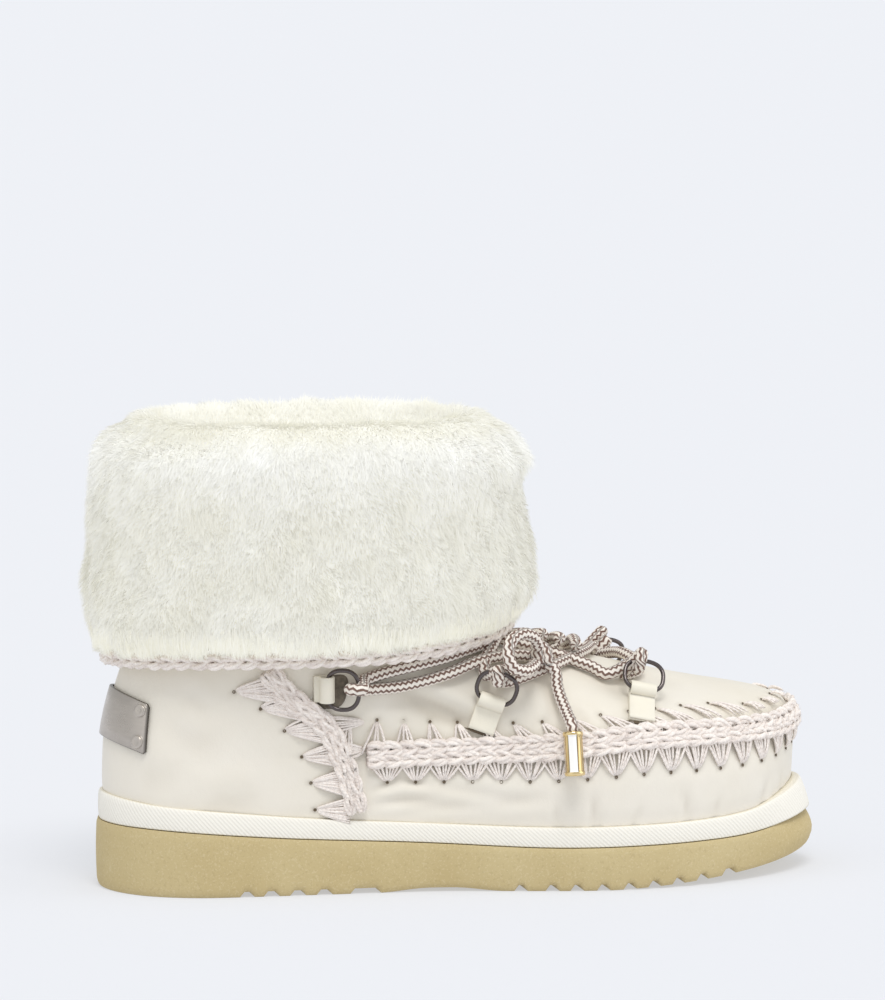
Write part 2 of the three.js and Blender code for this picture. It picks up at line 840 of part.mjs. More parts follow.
function hemHeight(turn) {
  const wrapped = ((turn % 2) + 2) % 2;
  return ankleFrontHeight * hemShare(wrapped <= 1 ? wrapped : 2 - wrapped);
}

// Pointed lock of wool lying down on the fur, with its root sunk in it.
function lockGeometry(turn, up) {
  const width = (lockWidth / 2) / (Math.PI * 60);
  const height = lockLength / (cuffTop - ankleFrontHeight);
  const fur = (t, u, lift) => {
    const out = furDepth * furAt(u) + lift;
    return offLeg(t, mix(hemHeight(t), cuffTop, u), out);
  };
  const corners = [
    fur(turn, up + height / 2, -1),
    fur(turn - width, up, -1),
    fur(turn, up - height / 2, lockHeight * 0.6),
    fur(turn + width, up, -1),
    fur(turn, up - height / 8, lockHeight),
    fur(turn, up, -4),
  ];
  const index = [4, 0, 1, 4, 1, 2, 4, 2, 3, 4, 3, 0, 5, 1, 0, 5, 2, 1, 5, 3, 2, 5, 0, 3];
  const positions = corners.flatMap((p) => p.toArray());
  const geometry = new THREE.BufferGeometry();
  geometry.setAttribute('position', new THREE.Float32BufferAttribute(positions, 3));
  geometry.setIndex(facingOut(positions, index));
  return geometry;
}

// Fold-down cuff: an upside-down U over the rim, deep fur outside and shorter fur inside, with locks on it.
function cuffGeometry() {
  const turns = evenTurns(36);
  const clear = 2.6 * gap;
  const inside = -upperWall - clear;
  const over = rimHeight + clear;
  const at = (heightAt, out) => ring(turns, (turn) => offLeg(turn, heightAt(turn), out));
  const outside = (up) => (turn) => mix(hemHeight(turn), cuffTop, up);
  const rings = [
    at(outside(0), clear),
    at(outside(0.45), clear),
    at(() => over, clear),
    at(() => over, inside),
    at(outside(cuffInsideReach), inside),
    at(outside(cuffInsideReach), inside - 0.8 * innerFurDepth),
  ];
  for (const row of [...liningRows].reverse()) {
    rings.push(at(outside(row.up), -upperWall - innerFurDepth * row.out));
  }
  for (const row of [...furRows].reverse()) {
    rings.push(at(outside(row.up), furDepth * row.out));
  }
  let cuff = solidOf(skin(rings, 'loop'));
  for (let j = 0; j < lockRows; j += 1) {
    for (let i = 0; i < locksPerRow; i += 1) {
      const turn = (2 * (i + (j % 2) / 2)) / locksPerRow;
      cuff = cuff.add(solidOf(lockGeometry(turn, mix(0.16, 0.72, j / (lockRows - 1)))));
    }
  }
  return geometryOf(cuff);
}

// Crochet chain along the lower edge of the cuff.
function hemBraidGeometry() {
  const turns = evenTurns(2 * hemStitches);
  const sides = 5;
  const rings = [];
  for (let k = 0; k < sides; k += 1) {
    const angle = (2 * Math.PI * k) / sides;
    rings.push(ring(turns, (turn) => {
      const swell = Math.round(turn * hemStitches) % 2 === 0 ? 1 : 0.84;
      const drop = hemBraidHeight / 2 + 2 * gap;
      const height = hemHeight(turn) - drop + (hemBraidHeight / 2) * Math.sin(angle) * swell;
      return offLeg(turn, height, hemBraidReach + (hemBraidDepth / 2) * Math.cos(angle) * swell);
    }));
  }
  return skin(rings, 'loop');
}

// Frame of a lacing tab: where its fold is, which way it points, and which way is out of the upper.
function tabFrame(row, inner) {
  const side = (turn) => (inner ? 2 - turn : turn);
  const start = upperPoint(side(row.startTurn), row.startUp);
  const end = upperPoint(side(row.endTurn), row.endUp);
  const middleTurn = side((row.startTurn + row.endTurn) / 2);
  const out = upperOutward(middleTurn, (row.startUp + row.endUp) / 2);
  const forward = end.clone().sub(start).normalize();
  const across = forward.clone().cross(out).normalize();
  out.crossVectors(across, forward);
  const middle = offUpper(middleTurn, (row.startUp + row.endUp) / 2, 2 * gap);
  const length = end.distanceTo(start);
  const origin = middle.addScaledVector(forward, -length / 2);
  return { origin, forward, out, across, length };
}

// Leather tab folded round the ring's near limb.
function tabGeometry(row, inner) {
  const frame = tabFrame(row, inner);
  const fold = eyeRadius + eyeWall;
  const profile = new THREE.Shape();
  const meet = Math.asin((fold - tabLeather) / fold);
  profile.moveTo(0, 0);
  profile.lineTo(frame.length, 0);
  profile.absarc(frame.length, fold, fold, -Math.PI / 2, Math.PI + meet, false);
  profile.lineTo(0, tabLeather);
  const eye = new THREE.Path();
  eye.absarc(frame.length, fold, eyeRadius, 0, 2 * Math.PI, true);
  profile.holes.push(eye);
  const geometry = new THREE.ExtrudeGeometry(profile, { depth: tabWidth, bevelEnabled: false, curveSegments: 4 });
  const basis = new THREE.Matrix4().makeBasis(frame.forward, frame.out, frame.across);
  geometry.translate(0, 0, -tabWidth / 2);
  return geometry.applyMatrix4(basis.setPosition(frame.origin));
}

// Metal ring through the tab's fold, leaning away from the upper.
function ringGeometry(row, inner) {
  const frame = tabFrame(row, inner);
  const eye = frame.origin.clone()
    .addScaledVector(frame.forward, frame.length)
    .addScaledVector(frame.out, eyeRadius + eyeWall);
  const lean = frame.forward.clone().multiplyScalar(Math.cos(ringTilt)).addScaledVector(frame.out, Math.sin(ringTilt));
  const normal = lean.clone().cross(frame.across).normalize();
  const centre = eye.addScaledVector(lean, ringHalfLength - ringShift);
  const power = 2 / ringShape;
  const steps = 12;
  const sides = 5;
  const rings = Array.from({ length: steps }, (_, i) => {
    const angle = (2 * Math.PI * i) / steps;
    const c = Math.cos(angle);
    const s = Math.sin(angle);
    const x = ringHalfLength * Math.sign(c) * Math.abs(c) ** power;
    const y = ringHalfWidth * Math.sign(s) * Math.abs(s) ** power;
    const limb = centre.clone().addScaledVector(lean, x).addScaledVector(frame.across, y);
    const outward = lean.clone().multiplyScalar(c / ringHalfLength).addScaledVector(frame.across, s / ringHalfWidth);
    outward.normalize();
    return Array.from({ length: sides }, (unused, k) => {
      const turn = (2 * Math.PI * k) / sides;
      return limb.clone()
        .addScaledVector(outward, ringWire * Math.cos(turn))
        .addScaledVector(normal, ringWire * Math.sin(turn));
    });
  });
  return skin(rings, 'loop');
}

// Cord along a curve through points.
function cordGeometry(points, steps, sides) {
  const path = new THREE.CatmullRomCurve3(points, false, 'centripetal');
  const section = new THREE.Shape();
  for (let i = 0; i < sides; i += 1) {
    const angle = (2 * Math.PI * i) / sides;
    const x = laceRadius * Math.cos(angle);
    const y = laceRadius * Math.sin(angle);
    if (i === 0) section.moveTo(x, y);
    else section.lineTo(x, y);
  }
  return new THREE.ExtrudeGeometry(section, { steps, bevelEnabled: false, extrudePath: path });
}

function strandPoints(rows) {
  return rows.map((row) => offUpper(row.turn, row.up, laceRadius + 2.7 * gap));
}

function laceCrossingsGeometry() {
  const strands = Object.values(laceStrandRows).map((rows) => {
    return solidOf(cordGeometry(strandPoints(rows), Math.round(1.6 * rows.length), 5));
  });
  return geometryOf(strands.reduce((joined, strand) => joined.add(strand)));
}

function knotMiddle() {
  return offUpper(knotTurn, knotUp, knotLift);
}

function knotGeometry() {
  const middle = knotMiddle();
  const geometry = new THREE.SphereGeometry(knotRadius, 8, 6);
  geometry.scale(1, 1, 0.8);
  const up = new THREE.Vector3(0, 0, 1);
  geometry.applyQuaternion(new THREE.Quaternion().setFromUnitVectors(up, upperOutward(knotTurn, knotUp)));
  return geometry.translate(middle.x, middle.y, middle.z);
}

function outerLoopGeometry() {
  const middle = knotMiddle();
  return cordGeometry(outerLoopPoints.map((point) => new THREE.Vector3(...point).add(middle)), 15, 6);
}

function liftedPoints(rows) {
  return rows.map((row) => offUpper(row.turn, row.up, row.lift));
}

// Metal barrel on a loose end, hanging straight on from it.
function barrelGeometry(rows) {
  const points = liftedPoints(rows);
  const end = points[points.length - 1];
  const last = points[points.length - 2];
  const down = new THREE.Vector3(0, 0, -1);
  const heading = end.clone().sub(last).normalize().lerp(down, 0.8).normalize();
  const geometry = new THREE.CylinderGeometry(barrelRadius, barrelRadius, barrelLength, 12);
  geometry.applyQuaternion(new THREE.Quaternion().setFromUnitVectors(new THREE.Vector3(0, -1, 0), heading));
  const middle = end.addScaledVector(heading, barrelLength / 2 + laceRadius);
  return geometry.translate(middle.x, middle.y, middle.z);
}

// Heel plate bent round the back of the heel, with a rivet at each corner.
function platePoint(round, height, lift) {
  const steps = 6;
  let spot = { turn: 0, up: plateLevel };
  for (let i = 0; i < steps; i += 1) {
    const ahead = upperPoint(spot.turn + 0.01, spot.up).sub(upperPoint(spot.turn - 0.01, spot.up)).normalize();
    spot = stepAlong(spot.turn, spot.up, ahead, round / steps);
  }
  const rise = height - plateDroop * (round / plateHalfArc) ** 2;
  const upward = new THREE.Vector3(0, 0, 1);
  spot = stepAlong(spot.turn, spot.up, upward, rise);
  return offUpper(spot.turn, spot.up, lift);
}

function heelPlateGeometry() {
  const columns = 9;
  const low = 2 * gap;
  const high = low + plateThickness;
  const half = plateHeight / 2;
  const rings = Array.from({ length: columns }, (_, i) => {
    const round = mix(-plateHalfArc, plateHalfArc, i / (columns - 1));
    return [[-half, low], [0, low], [half, low], [half, high], [0, high], [-half, high]]
      .map(([height, lift]) => platePoint(round, height, lift));
  });
  let plate = solidOf(skin(rings, 'fan'));
  const edge = rivetRadius + plateThickness;
  for (const round of [edge - plateHalfArc, plateHalfArc - edge]) {
    for (const height of [edge - half, half - edge]) {
      const foot = platePoint(round, height, high - plateThickness / 2);
      const top = platePoint(round, height, high + rivetHeight);
      const rivet = new THREE.CylinderGeometry(rivetRadius, rivetRadius, top.distanceTo(foot), 8);
      const heading = top.clone().sub(foot).normalize();
      rivet.applyQuaternion(new THREE.Quaternion().setFromUnitVectors(new THREE.Vector3(0, 1, 0), heading));
      const middle = foot.add(top).divideScalar(2);
      rivet.translate(middle.x, middle.y, middle.z);
      plate = plate.add(solidOf(rivet));
    }
  }
  return geometryOf(plate);
}

// Solids for joins and cuts.
function solidOf(geometry) {
  const bare = geometry.clone();
  bare.deleteAttribute('normal');
  bare.deleteAttribute('uv');
  const merged = mergeVertices(bare, 1e-4);
  return new wasm.Manifold(new wasm.Mesh({
    numProp: 3,
    vertProperties: new Float32Array(merged.attributes.position.array),
    triVerts: new Uint32Array(merged.index.array),
  }));
}

function geometryOf(solid) {
  const mesh = solid.getMesh();
  const geometry = new THREE.BufferGeometry();
  geometry.setAttribute('position', new THREE.BufferAttribute(mesh.vertProperties, 3));
  geometry.setIndex(new THREE.BufferAttribute(mesh.triVerts, 1));
  geometry.computeVertexNormals();
  return geometry;
}

function material(color, roughness, metalness) {
  return new THREE.MeshStandardMaterial({ color, roughness, metalness });
}

const foam = material(0xc9ba8a, 0.8, 0);
const twill = material(0xf1ede2, 0.85, 0);
const leather = material(0xefe8da, 0.5, 0);
const shearling = material(0xf3efe2, 0.95, 0);
const yarn = material(0xdccdc3, 0.95, 0);
const gunmetal = material(0x4c4a4c, 0.3, 1);
const pewter = material(0x6d685f, 0.35, 1);
const gold = material(0xd9c28c, 0.2, 1);
const cord = material(0xb9a297, 0.85, 0);

const group = new THREE.Group();

function addPart(name, geometry, finish) {
  const mesh = new THREE.Mesh(geometry, finish);
  mesh.name = name;
  group.add(mesh);
}

addPart('outsole', outsoleGeometry(), foam);
addPart('midsole', midsoleGeometry(), twill);
addPart('insole', insoleGeometry(), shearling);
addPart('upper', upperGeometry(), leather);
addPart('cuff', cuffGeometry(), shearling);
addPart('hem_braid', hemBraidGeometry(), yarn);
addPart('apron_braid', apronBraidGeometry(), yarn);
addPart('ankle_braid_outer', ankleBraidGeometry(false), yarn);
addPart('ankle_braid_inner', ankleBraidGeometry(true), yarn);
for (const row of tabRows) {
  for (const inner of [false, true]) {
    const side = inner ? 'inner' : 'outer';
    addPart(`tab_${row.name}_${side}`, tabGeometry(row, inner), leather);
    addPart(`ring_${row.name}_${side}`, ringGeometry(row, inner), gunmetal);
  }
}
addPart('heel_plate', heelPlateGeometry(), pewter);
addPart('lace_bar', cordGeometry(strandPoints(laceBarRows), 12, 5), cord);
addPart('lace_crossings', laceCrossingsGeometry(), cord);
const middle = new THREE.Box3().setFromObject(group).getCenter(new THREE.Vector3());
addPart('lace_knot', knotGeometry(), cord);
addPart('lace_loop_outer', outerLoopGeometry(), cord);
addPart('lace_loop_inner', cordGeometry(liftedPoints(innerLoopRows), 19, 6), cord);
addPart('lace_end_outer', cordGeometry(liftedPoints(outerEndRows), 9, 6), cord);
addPart('lace_end_inner', cordGeometry(liftedPoints(innerEndRows), 14, 6), cord);
addPart('lace_tip_outer', barrelGeometry(outerEndRows), gold);
addPart('lace_tip_inner', barrelGeometry(innerEndRows), gold);
for (const mesh of group.children) {
  mesh.geometry.translate(-middle.x, -middle.y, 0);
}

export default group;
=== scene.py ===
"""Mukluk boot for a right foot: the look of every piece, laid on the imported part.

Tables and formulas use millimetres in the sole's own frame, as the part's source does: X from heel to toe
with 0 at the middle of the sole, Y to the inner side, Z up from the floor. placed() turns them into the row
frame. turn is the way round the foot: 0 at the heel, 1 at the toe, and 2 at the heel again by the inner side.
"""
import math

import bpy
import numpy as np
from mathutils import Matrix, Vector


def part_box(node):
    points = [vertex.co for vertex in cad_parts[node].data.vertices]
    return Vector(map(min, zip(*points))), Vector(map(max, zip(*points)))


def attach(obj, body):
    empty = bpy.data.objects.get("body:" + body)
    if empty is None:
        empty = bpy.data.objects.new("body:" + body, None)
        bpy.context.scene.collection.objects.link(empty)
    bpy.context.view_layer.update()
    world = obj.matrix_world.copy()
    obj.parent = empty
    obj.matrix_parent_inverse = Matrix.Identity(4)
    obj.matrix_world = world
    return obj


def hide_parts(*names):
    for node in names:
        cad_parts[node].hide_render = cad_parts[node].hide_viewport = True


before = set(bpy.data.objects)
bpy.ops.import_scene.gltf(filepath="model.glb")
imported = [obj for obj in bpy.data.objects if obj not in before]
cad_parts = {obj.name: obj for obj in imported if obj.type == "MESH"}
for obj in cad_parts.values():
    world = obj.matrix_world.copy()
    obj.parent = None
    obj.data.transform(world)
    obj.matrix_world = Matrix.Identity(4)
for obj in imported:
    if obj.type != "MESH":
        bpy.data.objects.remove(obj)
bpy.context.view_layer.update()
rng = np.random.default_rng(7)

# Sole and platform
sole_length = 270.0
heel_width = 76.0
ball_width = 99.0
heel_height = 24.6
forefoot_height = 15.6
toe_lift = 6.6
toe_spring = 7.5
spring_start = 0.66
arch_rise = 1.4
sole_edge_radius = 1.8
foam_side_inset = 0.2 * sole_edge_radius
foam_edge_share = 0.16
foam_bulge = 0.3
foam_top_inset = 0.4
foam_edge_angle = math.radians(38)
toe_overhang = 3.6
heel_lug_depth = 1.9
forefoot_lug_depth = 2.2
lug_slope = 1.6
band_height = 7.4
band_inset = 1.2
band_toe_inset = 4.6
rim_thickness = 1.4
seat_depth = 3.0
insole_thickness = 6.0
heel_cup_depth = 1.6

# Upper and shaft
upper_wall = 2.6
lining_depth = 2.05
rim_lining_depth = 5.4
apron_height = 51.0
upper_toe_setback = 4.6
ankle_length = 132.0
ankle_width = 76.0
ankle_back_x = -122.5
ankle_back_height = 87.0
ankle_front_height = 90.0
leg_length = 124.0
leg_width = 90.0
leg_back_x = -119.0
rim_height = 166.0
leg_roundness = 2.2

# Cuff
cuff_top = 175.0
hide_clearance = 0.9

# Crochet, hardware and lace
braid_width = 9.6
ankle_braid_width = 7.4
hem_braid_height = 4.8
hem_braid_reach = 8.8
stitch_pitch = 5.9
stitch_sides = 6
plies = 3
ply_twist = 3.6
stitch_height = 1.6
thread_radius = 0.46
thread_sides = 5
tab_width = 9.6
tab_layer = 0.86
eye_radius = 1.8
eye_wall = 1.0
ring_half_width = 7.2
ring_half_length = 6.0
ring_wire = 0.8
ring_shape = 2.5
ring_shift = 0.3
ring_tilt = 0.35
lace_radius = 2.2
lace_sides = 20
hook_steps_per_mm = 1.4
barrel_radius = 3.7
barrel_length = 16.0
plate_height = 18.5
plate_half_arc = 27.0
plate_thickness = 1.1
plate_bevel = 0.45
plate_corner = 1.1
plate_level = 1.38
plate_droop = 4.0
rivet_radius = 2.4
rivet_height = 0.7
metal_edge_angle = math.radians(50)
gap = 0.3

heel_x = -sole_length / 2

# Half width of the sole. Columns: share of the length, share of heel_width, share of ball_width.
outline_rows = np.array([
    [0.02, 0.245, 0], [0.06, 0.395, 0], [0.12, 0.482, 0], [0.2, 0.5, 0], [0.3, 0.493, 0],
    [0.4, 0.36, 0.095], [0.47, 0.2, 0.23], [0.55, 0.06, 0.383], [0.62, 0, 0.473], [0.68, 0, 0.499],
    [0.74, 0, 0.498], [0.8, 0, 0.474], [0.86, 0, 0.425], [0.92, 0, 0.341], [0.96, 0, 0.252],
    [0.985, 0, 0.158],
])

# Middle line of the sole. Columns: share of the length, sideways place as a share of ball_width.
sway_rows = np.array([
    [0, 0], [0.2, 0], [0.4, -0.02], [0.5, -0.03], [0.62, -0.025], [0.7, -0.01], [0.8, 0.01], [0.9, 0.04],
    [1, 0.06],
])

# Heights. Columns: share of the length, wedge, toe lift, band and apron shares.
height_rows = np.array([
    [0, 1, 0, 1.4, 0.98], [0.056, 0.97, 0, 1.18, 0.98], [0.12, 0.85, 0, 1.12, 0.98],
    [0.185, 0.69, 0, 1.09, 0.98], [0.252, 0.54, 0, 1.04, 0.98], [0.389, 0.31, 0, 0.96, 0.985],
    [0.522, 0.08, 0, 0.98, 1], [0.6, 0, 0, 1.01, 1.014], [0.722, 0, 0.03, 1.01, 1.07],
    [0.796, 0, 0.08, 1.03, 1.07], [0.874, 0, 0.19, 1.12, 1.065], [0.933, 0, 0.5, 1.3, 1.065],
    [1, 0, 1, 1.38, 1.1],
])

# Wall inset inside the sole outline. Columns: up, heel, ball and toe as shares of band_inset.
wall_rows = np.array([
    [0, 2.42, 2.42, 2.9], [0.11, 2.42, 2.42, 2.9], [0.3, 2.1, 1.8, 2.7], [0.65, 2.1, 1.9, 2.4],
    [1, 2.3, 4.2, 2.8],
])

# Rise of the vamp. Columns: share of the way back, share of the way up.
vamp_rows = np.array([
    [0, 0], [0.023, 0.15], [0.074, 0.25], [0.18, 0.34], [0.31, 0.42], [0.48, 0.545], [0.67, 0.7],
    [0.864, 0.84], [1, 1],
])

# Turn round the foot and the turn round the leg above it.
turn_rows = np.array([
    [0, 0], [0.18, 0.205], [0.295, 0.397], [0.391, 0.577], [0.48, 0.667], [0.557, 0.734], [0.645, 0.842],
    [0.765, 0.922], [1, 1],
])

# Lower edge of the cuff. Columns: turn round the leg, share of ankle_front_height.
hem_rows = np.array([[0, 0.971], [0.35, 0.994], [0.6, 1.006], [0.8, 1.054], [1, 1.105]])

# Tread recesses. Columns: start and end as shares of the length, and 1 on the heel.
recess_rows = np.array([
    [0.172, 0.192, 1], [0.204, 0.226, 1], [0.24, 0.262, 1], [0.276, 0.298, 1], [0.322, 0.364, 1],
    [0.54, 0.558, 0], [0.581, 0.6, 0], [0.614, 0.633, 0], [0.65, 0.669, 0], [0.687, 0.706, 0],
    [0.722, 0.741, 0], [0.757, 0.776, 0], [0.793, 0.812, 0], [0.832, 0.856, 0],
])


def curve_through(xs, ys):
    """Smooth curve through a table, with slopes from the neighbouring rows."""
    xs = np.asarray(xs, float)
    ys = np.asarray(ys, float)
    last = len(xs) - 1
    before = np.maximum(np.arange(last + 1) - 1, 0)
    after = np.minimum(np.arange(last + 1) + 1, last)
    slopes = (ys[after] - ys[before]) / (xs[after] - xs[before])

    def at(x):
        x = np.clip(x, xs[0], xs[-1])
        i = np.clip(np.searchsorted(xs, x) - 1, 0, last - 1)
        span = xs[i + 1] - xs[i]
        t = (x - xs[i]) / span
        rise = ys[i + 1] - ys[i]
        a = slopes[i] * span - rise
        b = rise - slopes[i + 1] * span
        return ys[i] + rise * t + t * (1 - t) * (a * (1 - t) + b * t)
    return at


def column(rows, output):
    return curve_through(rows[:, 0], rows[:, output])


def mix(a, b, share):
    return a + (b - a) * share


def ease(start, end, value):
    t = np.clip((value - start) / (end - start), 0, 1)
    return t * t * (3 - 2 * t)


def folded(turn):
    """The same place's turn on the outer side."""
    return np.where(turn <= 1, turn, 2 - turn)


# Turn of a place on each side of the foot, from its turn on the outer side.
at_side = {"outer": lambda turn: turn, "inner": lambda turn: 2 - turn}


def unit(vectors):
    return vectors / np.maximum(np.linalg.norm(vectors, axis=-1, keepdims=True), 1e-9)


def vec(x, y, z):
    return np.stack(np.broadcast_arrays(x, y, z), -1).astype(float)


def reach_along(lines):
    """Length along a line, or along each of many, up to each of its points."""
    steps = np.linalg.norm(np.diff(lines, axis=-2), axis=-1)
    return np.concatenate([np.zeros(steps.shape[:-1] + (1,)), np.cumsum(steps, axis=-1)], axis=-1)


def superellipse(angle, power):
    """Cosine and sine that go round a rounded rectangle: the smaller the power, the fuller its corners."""
    c, s = np.cos(angle), np.sin(angle)
    return np.sign(c) * np.abs(c) ** power, np.sign(s) * np.abs(s) ** power


def circle(middle, radius, one, other, count):
    """Points round a middle, in the plane of two directions."""
    angle = np.arange(count) * 2 * np.pi / count
    return middle + radius * (np.cos(angle)[:, None] * one + np.sin(angle)[:, None] * other)


sway = column(sway_rows, 1)
wedge, lift, band_share, apron_share = (column(height_rows, i) for i in (1, 2, 3, 4))
wall_heel, wall_ball, wall_toe = (column(wall_rows, i) for i in (1, 2, 3))
vamp_rise = column(vamp_rows, 1)
leg_turn = column(turn_rows, 1)
hem_share = column(hem_rows, 1)


def along_of(turn):
    return (1 - np.cos(np.pi * turn)) / 2


def turn_of(along):
    return np.arccos(1 - 2 * np.asarray(along, float)) / np.pi


def outline_width():
    turns = turn_of(outline_rows[:, 0])
    widths = outline_rows[:, 1] * heel_width + outline_rows[:, 2] * ball_width
    xs = [-turns[0], 0, *turns, 1, 2 - turns[-1]]
    ys = [-widths[0], 0, *widths, 0, -widths[-1]]
    return curve_through(xs, ys)


half_width = outline_width()


def outline(turn):
    """Point of the sole outline: turns 0 to 1 run along the outer side, 1 to 2 back along the inner side."""
    wrapped = np.mod(turn, 2.0)
    half = half_width(folded(wrapped))
    along = along_of(wrapped)
    sideways = sway(along) * ball_width + np.where(wrapped <= 1, -half, half)
    return np.stack([heel_x + sole_length * along, sideways], -1)


def inset_point(turn, inset, height):
    turn, inset, height = np.broadcast_arrays(turn, inset, height)
    step = 0.004
    tangent = unit(outline(turn + step) - outline(turn - step))
    point = outline(turn) + np.stack([-tangent[..., 1], tangent[..., 0]], -1) * inset[..., None]
    return vec(point[..., 0], point[..., 1], height)


def toe_share(along):
    return ease(0.88, 1, along)


def sole_top(along):
    return forefoot_height + (heel_height - forefoot_height) * wedge(along) + toe_lift * lift(along)


def band_top(along):
    return sole_top(along) + band_height * band_share(along)


def seat_height(along):
    return band_top(along) - seat_depth


def tread_height(along):
    spring = toe_spring * np.maximum(0, (along - spring_start) / (1 - spring_start)) ** 1.6
    arch = arch_rise * ease(0.36, 0.43, along) * (1 - ease(0.46, 0.53, along))
    return spring + arch


def recess_at(along):
    slope = lug_slope / sole_length
    depth = np.zeros_like(along)
    for start, end, on_heel in recess_rows:
        full = heel_lug_depth if on_heel else forefoot_lug_depth
        inside = np.minimum(along - start, end - along) / slope
        depth = np.maximum(depth, full * np.minimum(1, inside))
    return depth


def wall_point(turn, up):
    along = along_of(turn)
    toe = toe_share(along)
    side = mix(wall_heel(up), wall_ball(up), ease(0.3, 0.55, along))
    inset = band_inset * mix(side, wall_toe(up), toe) + upper_toe_setback * toe
    return inset_point(turn, inset, mix(seat_height(along) + gap, apron_height * apron_share(along), up))


def leg_point(turn, level):
    turn, level = np.broadcast_arrays(np.mod(turn, 2.0), level)
    c, s = superellipse(np.pi * turn, 2 / leg_roundness)
    length = mix(ankle_length, leg_length, level)
    width = mix(ankle_width, leg_width, level)
    x = mix(ankle_back_x, leg_back_x, level) + length / 2 * (1 - c)
    ankle = mix(ankle_back_height, ankle_front_height, along_of(turn))
    return vec(x, -width / 2 * s, mix(ankle, rim_height, level))


def foot_to_leg(turn):
    wrapped = np.mod(turn, 2.0)
    return np.where(wrapped <= 1, leg_turn(np.minimum(wrapped, 1)), 2 - leg_turn(np.minimum(2 - wrapped, 1)))


def vamp_point(turn, up):
    along = along_of(turn)
    start = wall_point(turn, np.ones_like(up))
    end = leg_point(foot_to_leg(turn), 0.0)
    inward = mix(up, up ** 1.6, 1 - ease(0, 0.2, along))[..., None]
    rise = mix(up, vamp_rise(up), ease(0.55, 1, along))
    flat = mix(start[..., :2], end[..., :2], inward)
    return vec(flat[..., 0], flat[..., 1], mix(start[..., 2], end[..., 2], rise))


def upper_point(turn, up):
    """Outer skin of the upper: up 0 is the platform, 1 the apron seam, 2 the ankle and 3 the rim."""
    turn, up = np.broadcast_arrays(np.asarray(turn, float), np.asarray(up, float))
    wall = wall_point(turn, np.clip(up, 0, 1))
    vamp = vamp_point(turn, np.clip(up - 1, 0, 1))
    leg = leg_point(foot_to_leg(turn), np.clip(up - 2, 0, 1))
    return np.where((up <= 1)[..., None], wall, np.where((up <= 2)[..., None], vamp, leg))


def upper_outward(turn, up):
    turn, up = np.broadcast_arrays(np.asarray(turn, float), np.asarray(up, float))
    step = 0.006
    low = np.maximum(0, up - step)
    high = np.minimum(3, up + step)
    along = upper_point(turn + step, up) - upper_point(turn - step, up)
    return unit(np.cross(along, upper_point(turn, high) - upper_point(turn, low)))


def off_upper(turn, up, distance):
    distance = np.asarray(distance, float)
    return upper_point(turn, up) + upper_outward(turn, up) * distance[..., None]


def step_along(turn, up, direction, distance):
    """Moves places on the skin by a distance along it, in a given direction."""
    step = 0.004
    here = upper_point(turn, up)
    round_ = (upper_point(turn + step, up) - here) / step
    high = np.minimum(3, up + step)
    rise = (upper_point(turn, high) - here) / (high - up)[..., None]
    rr, ru, uu = ((a * b).sum(-1) for a, b in ((round_, round_), (round_, rise), (rise, rise)))
    dr = (direction * round_).sum(-1) * distance
    du = (direction * rise).sum(-1) * distance
    scale = rr * uu - ru * ru
    return turn + (dr * uu - du * ru) / scale, up + (du * rr - dr * ru) / scale


def off_leg(turn, height, distance):
    """Place in front of the leg's skin, at a height of its own."""
    turn, height, distance = np.broadcast_arrays(turn, height, distance)
    level = np.maximum(0, (height - ankle_back_height) / (rim_height - ankle_back_height))
    step = 0.01
    tangent = leg_point(turn + step, level) - leg_point(turn - step, level)
    tangent[..., 2] = 0
    tangent = unit(tangent)
    point = leg_point(turn, level)
    return vec(point[..., 0] + tangent[..., 1] * distance, point[..., 1] - tangent[..., 0] * distance, height)


def hem_height(turn):
    return ankle_front_height * hem_share(folded(np.mod(turn, 2.0)))


# Where the sole's own frame lies in the row frame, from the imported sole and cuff.
sole_low, sole_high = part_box("outsole")
cuff_low, cuff_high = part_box("cuff")
frame_shift = np.array([(sole_low[0] + sole_high[0]) / 2, (cuff_low[1] + cuff_high[1]) / 2, 0.0])


def placed(points):
    return np.asarray(points, float) * 0.001 + frame_shift


# Camera: the photograph's view, from the outer side with the heel turned a little towards it.
view_turn = math.radians(12.0)
view_rise = math.radians(6.14)
view_distance = 2.4
view_target = placed([-6.1, 0.9, 138.3])
pixels_per_metre = 2731.0
photo_height = 1000
sensor_side = 36.0


def direction_at(turn, rise):
    """The way to a place round the boot: turn 0 is its outer side, and rise is the angle above the floor."""
    return Vector((math.sin(turn) * math.cos(rise), -math.cos(turn) * math.cos(rise), math.sin(rise)))


def link(obj):
    bpy.context.collection.objects.link(obj)
    return obj


def make_camera():
    data = bpy.data.cameras.new("camera")
    data.sensor_width = sensor_side
    data.lens = sensor_side * pixels_per_metre * view_distance / photo_height
    data.clip_end = 100
    camera = link(bpy.data.objects.new("camera", data))
    back = direction_at(-view_turn, view_rise)
    camera.location = Vector(view_target) + back * view_distance
    camera.rotation_euler = back.to_track_quat("Z", "Y").to_euler()
    bpy.context.scene.camera = camera


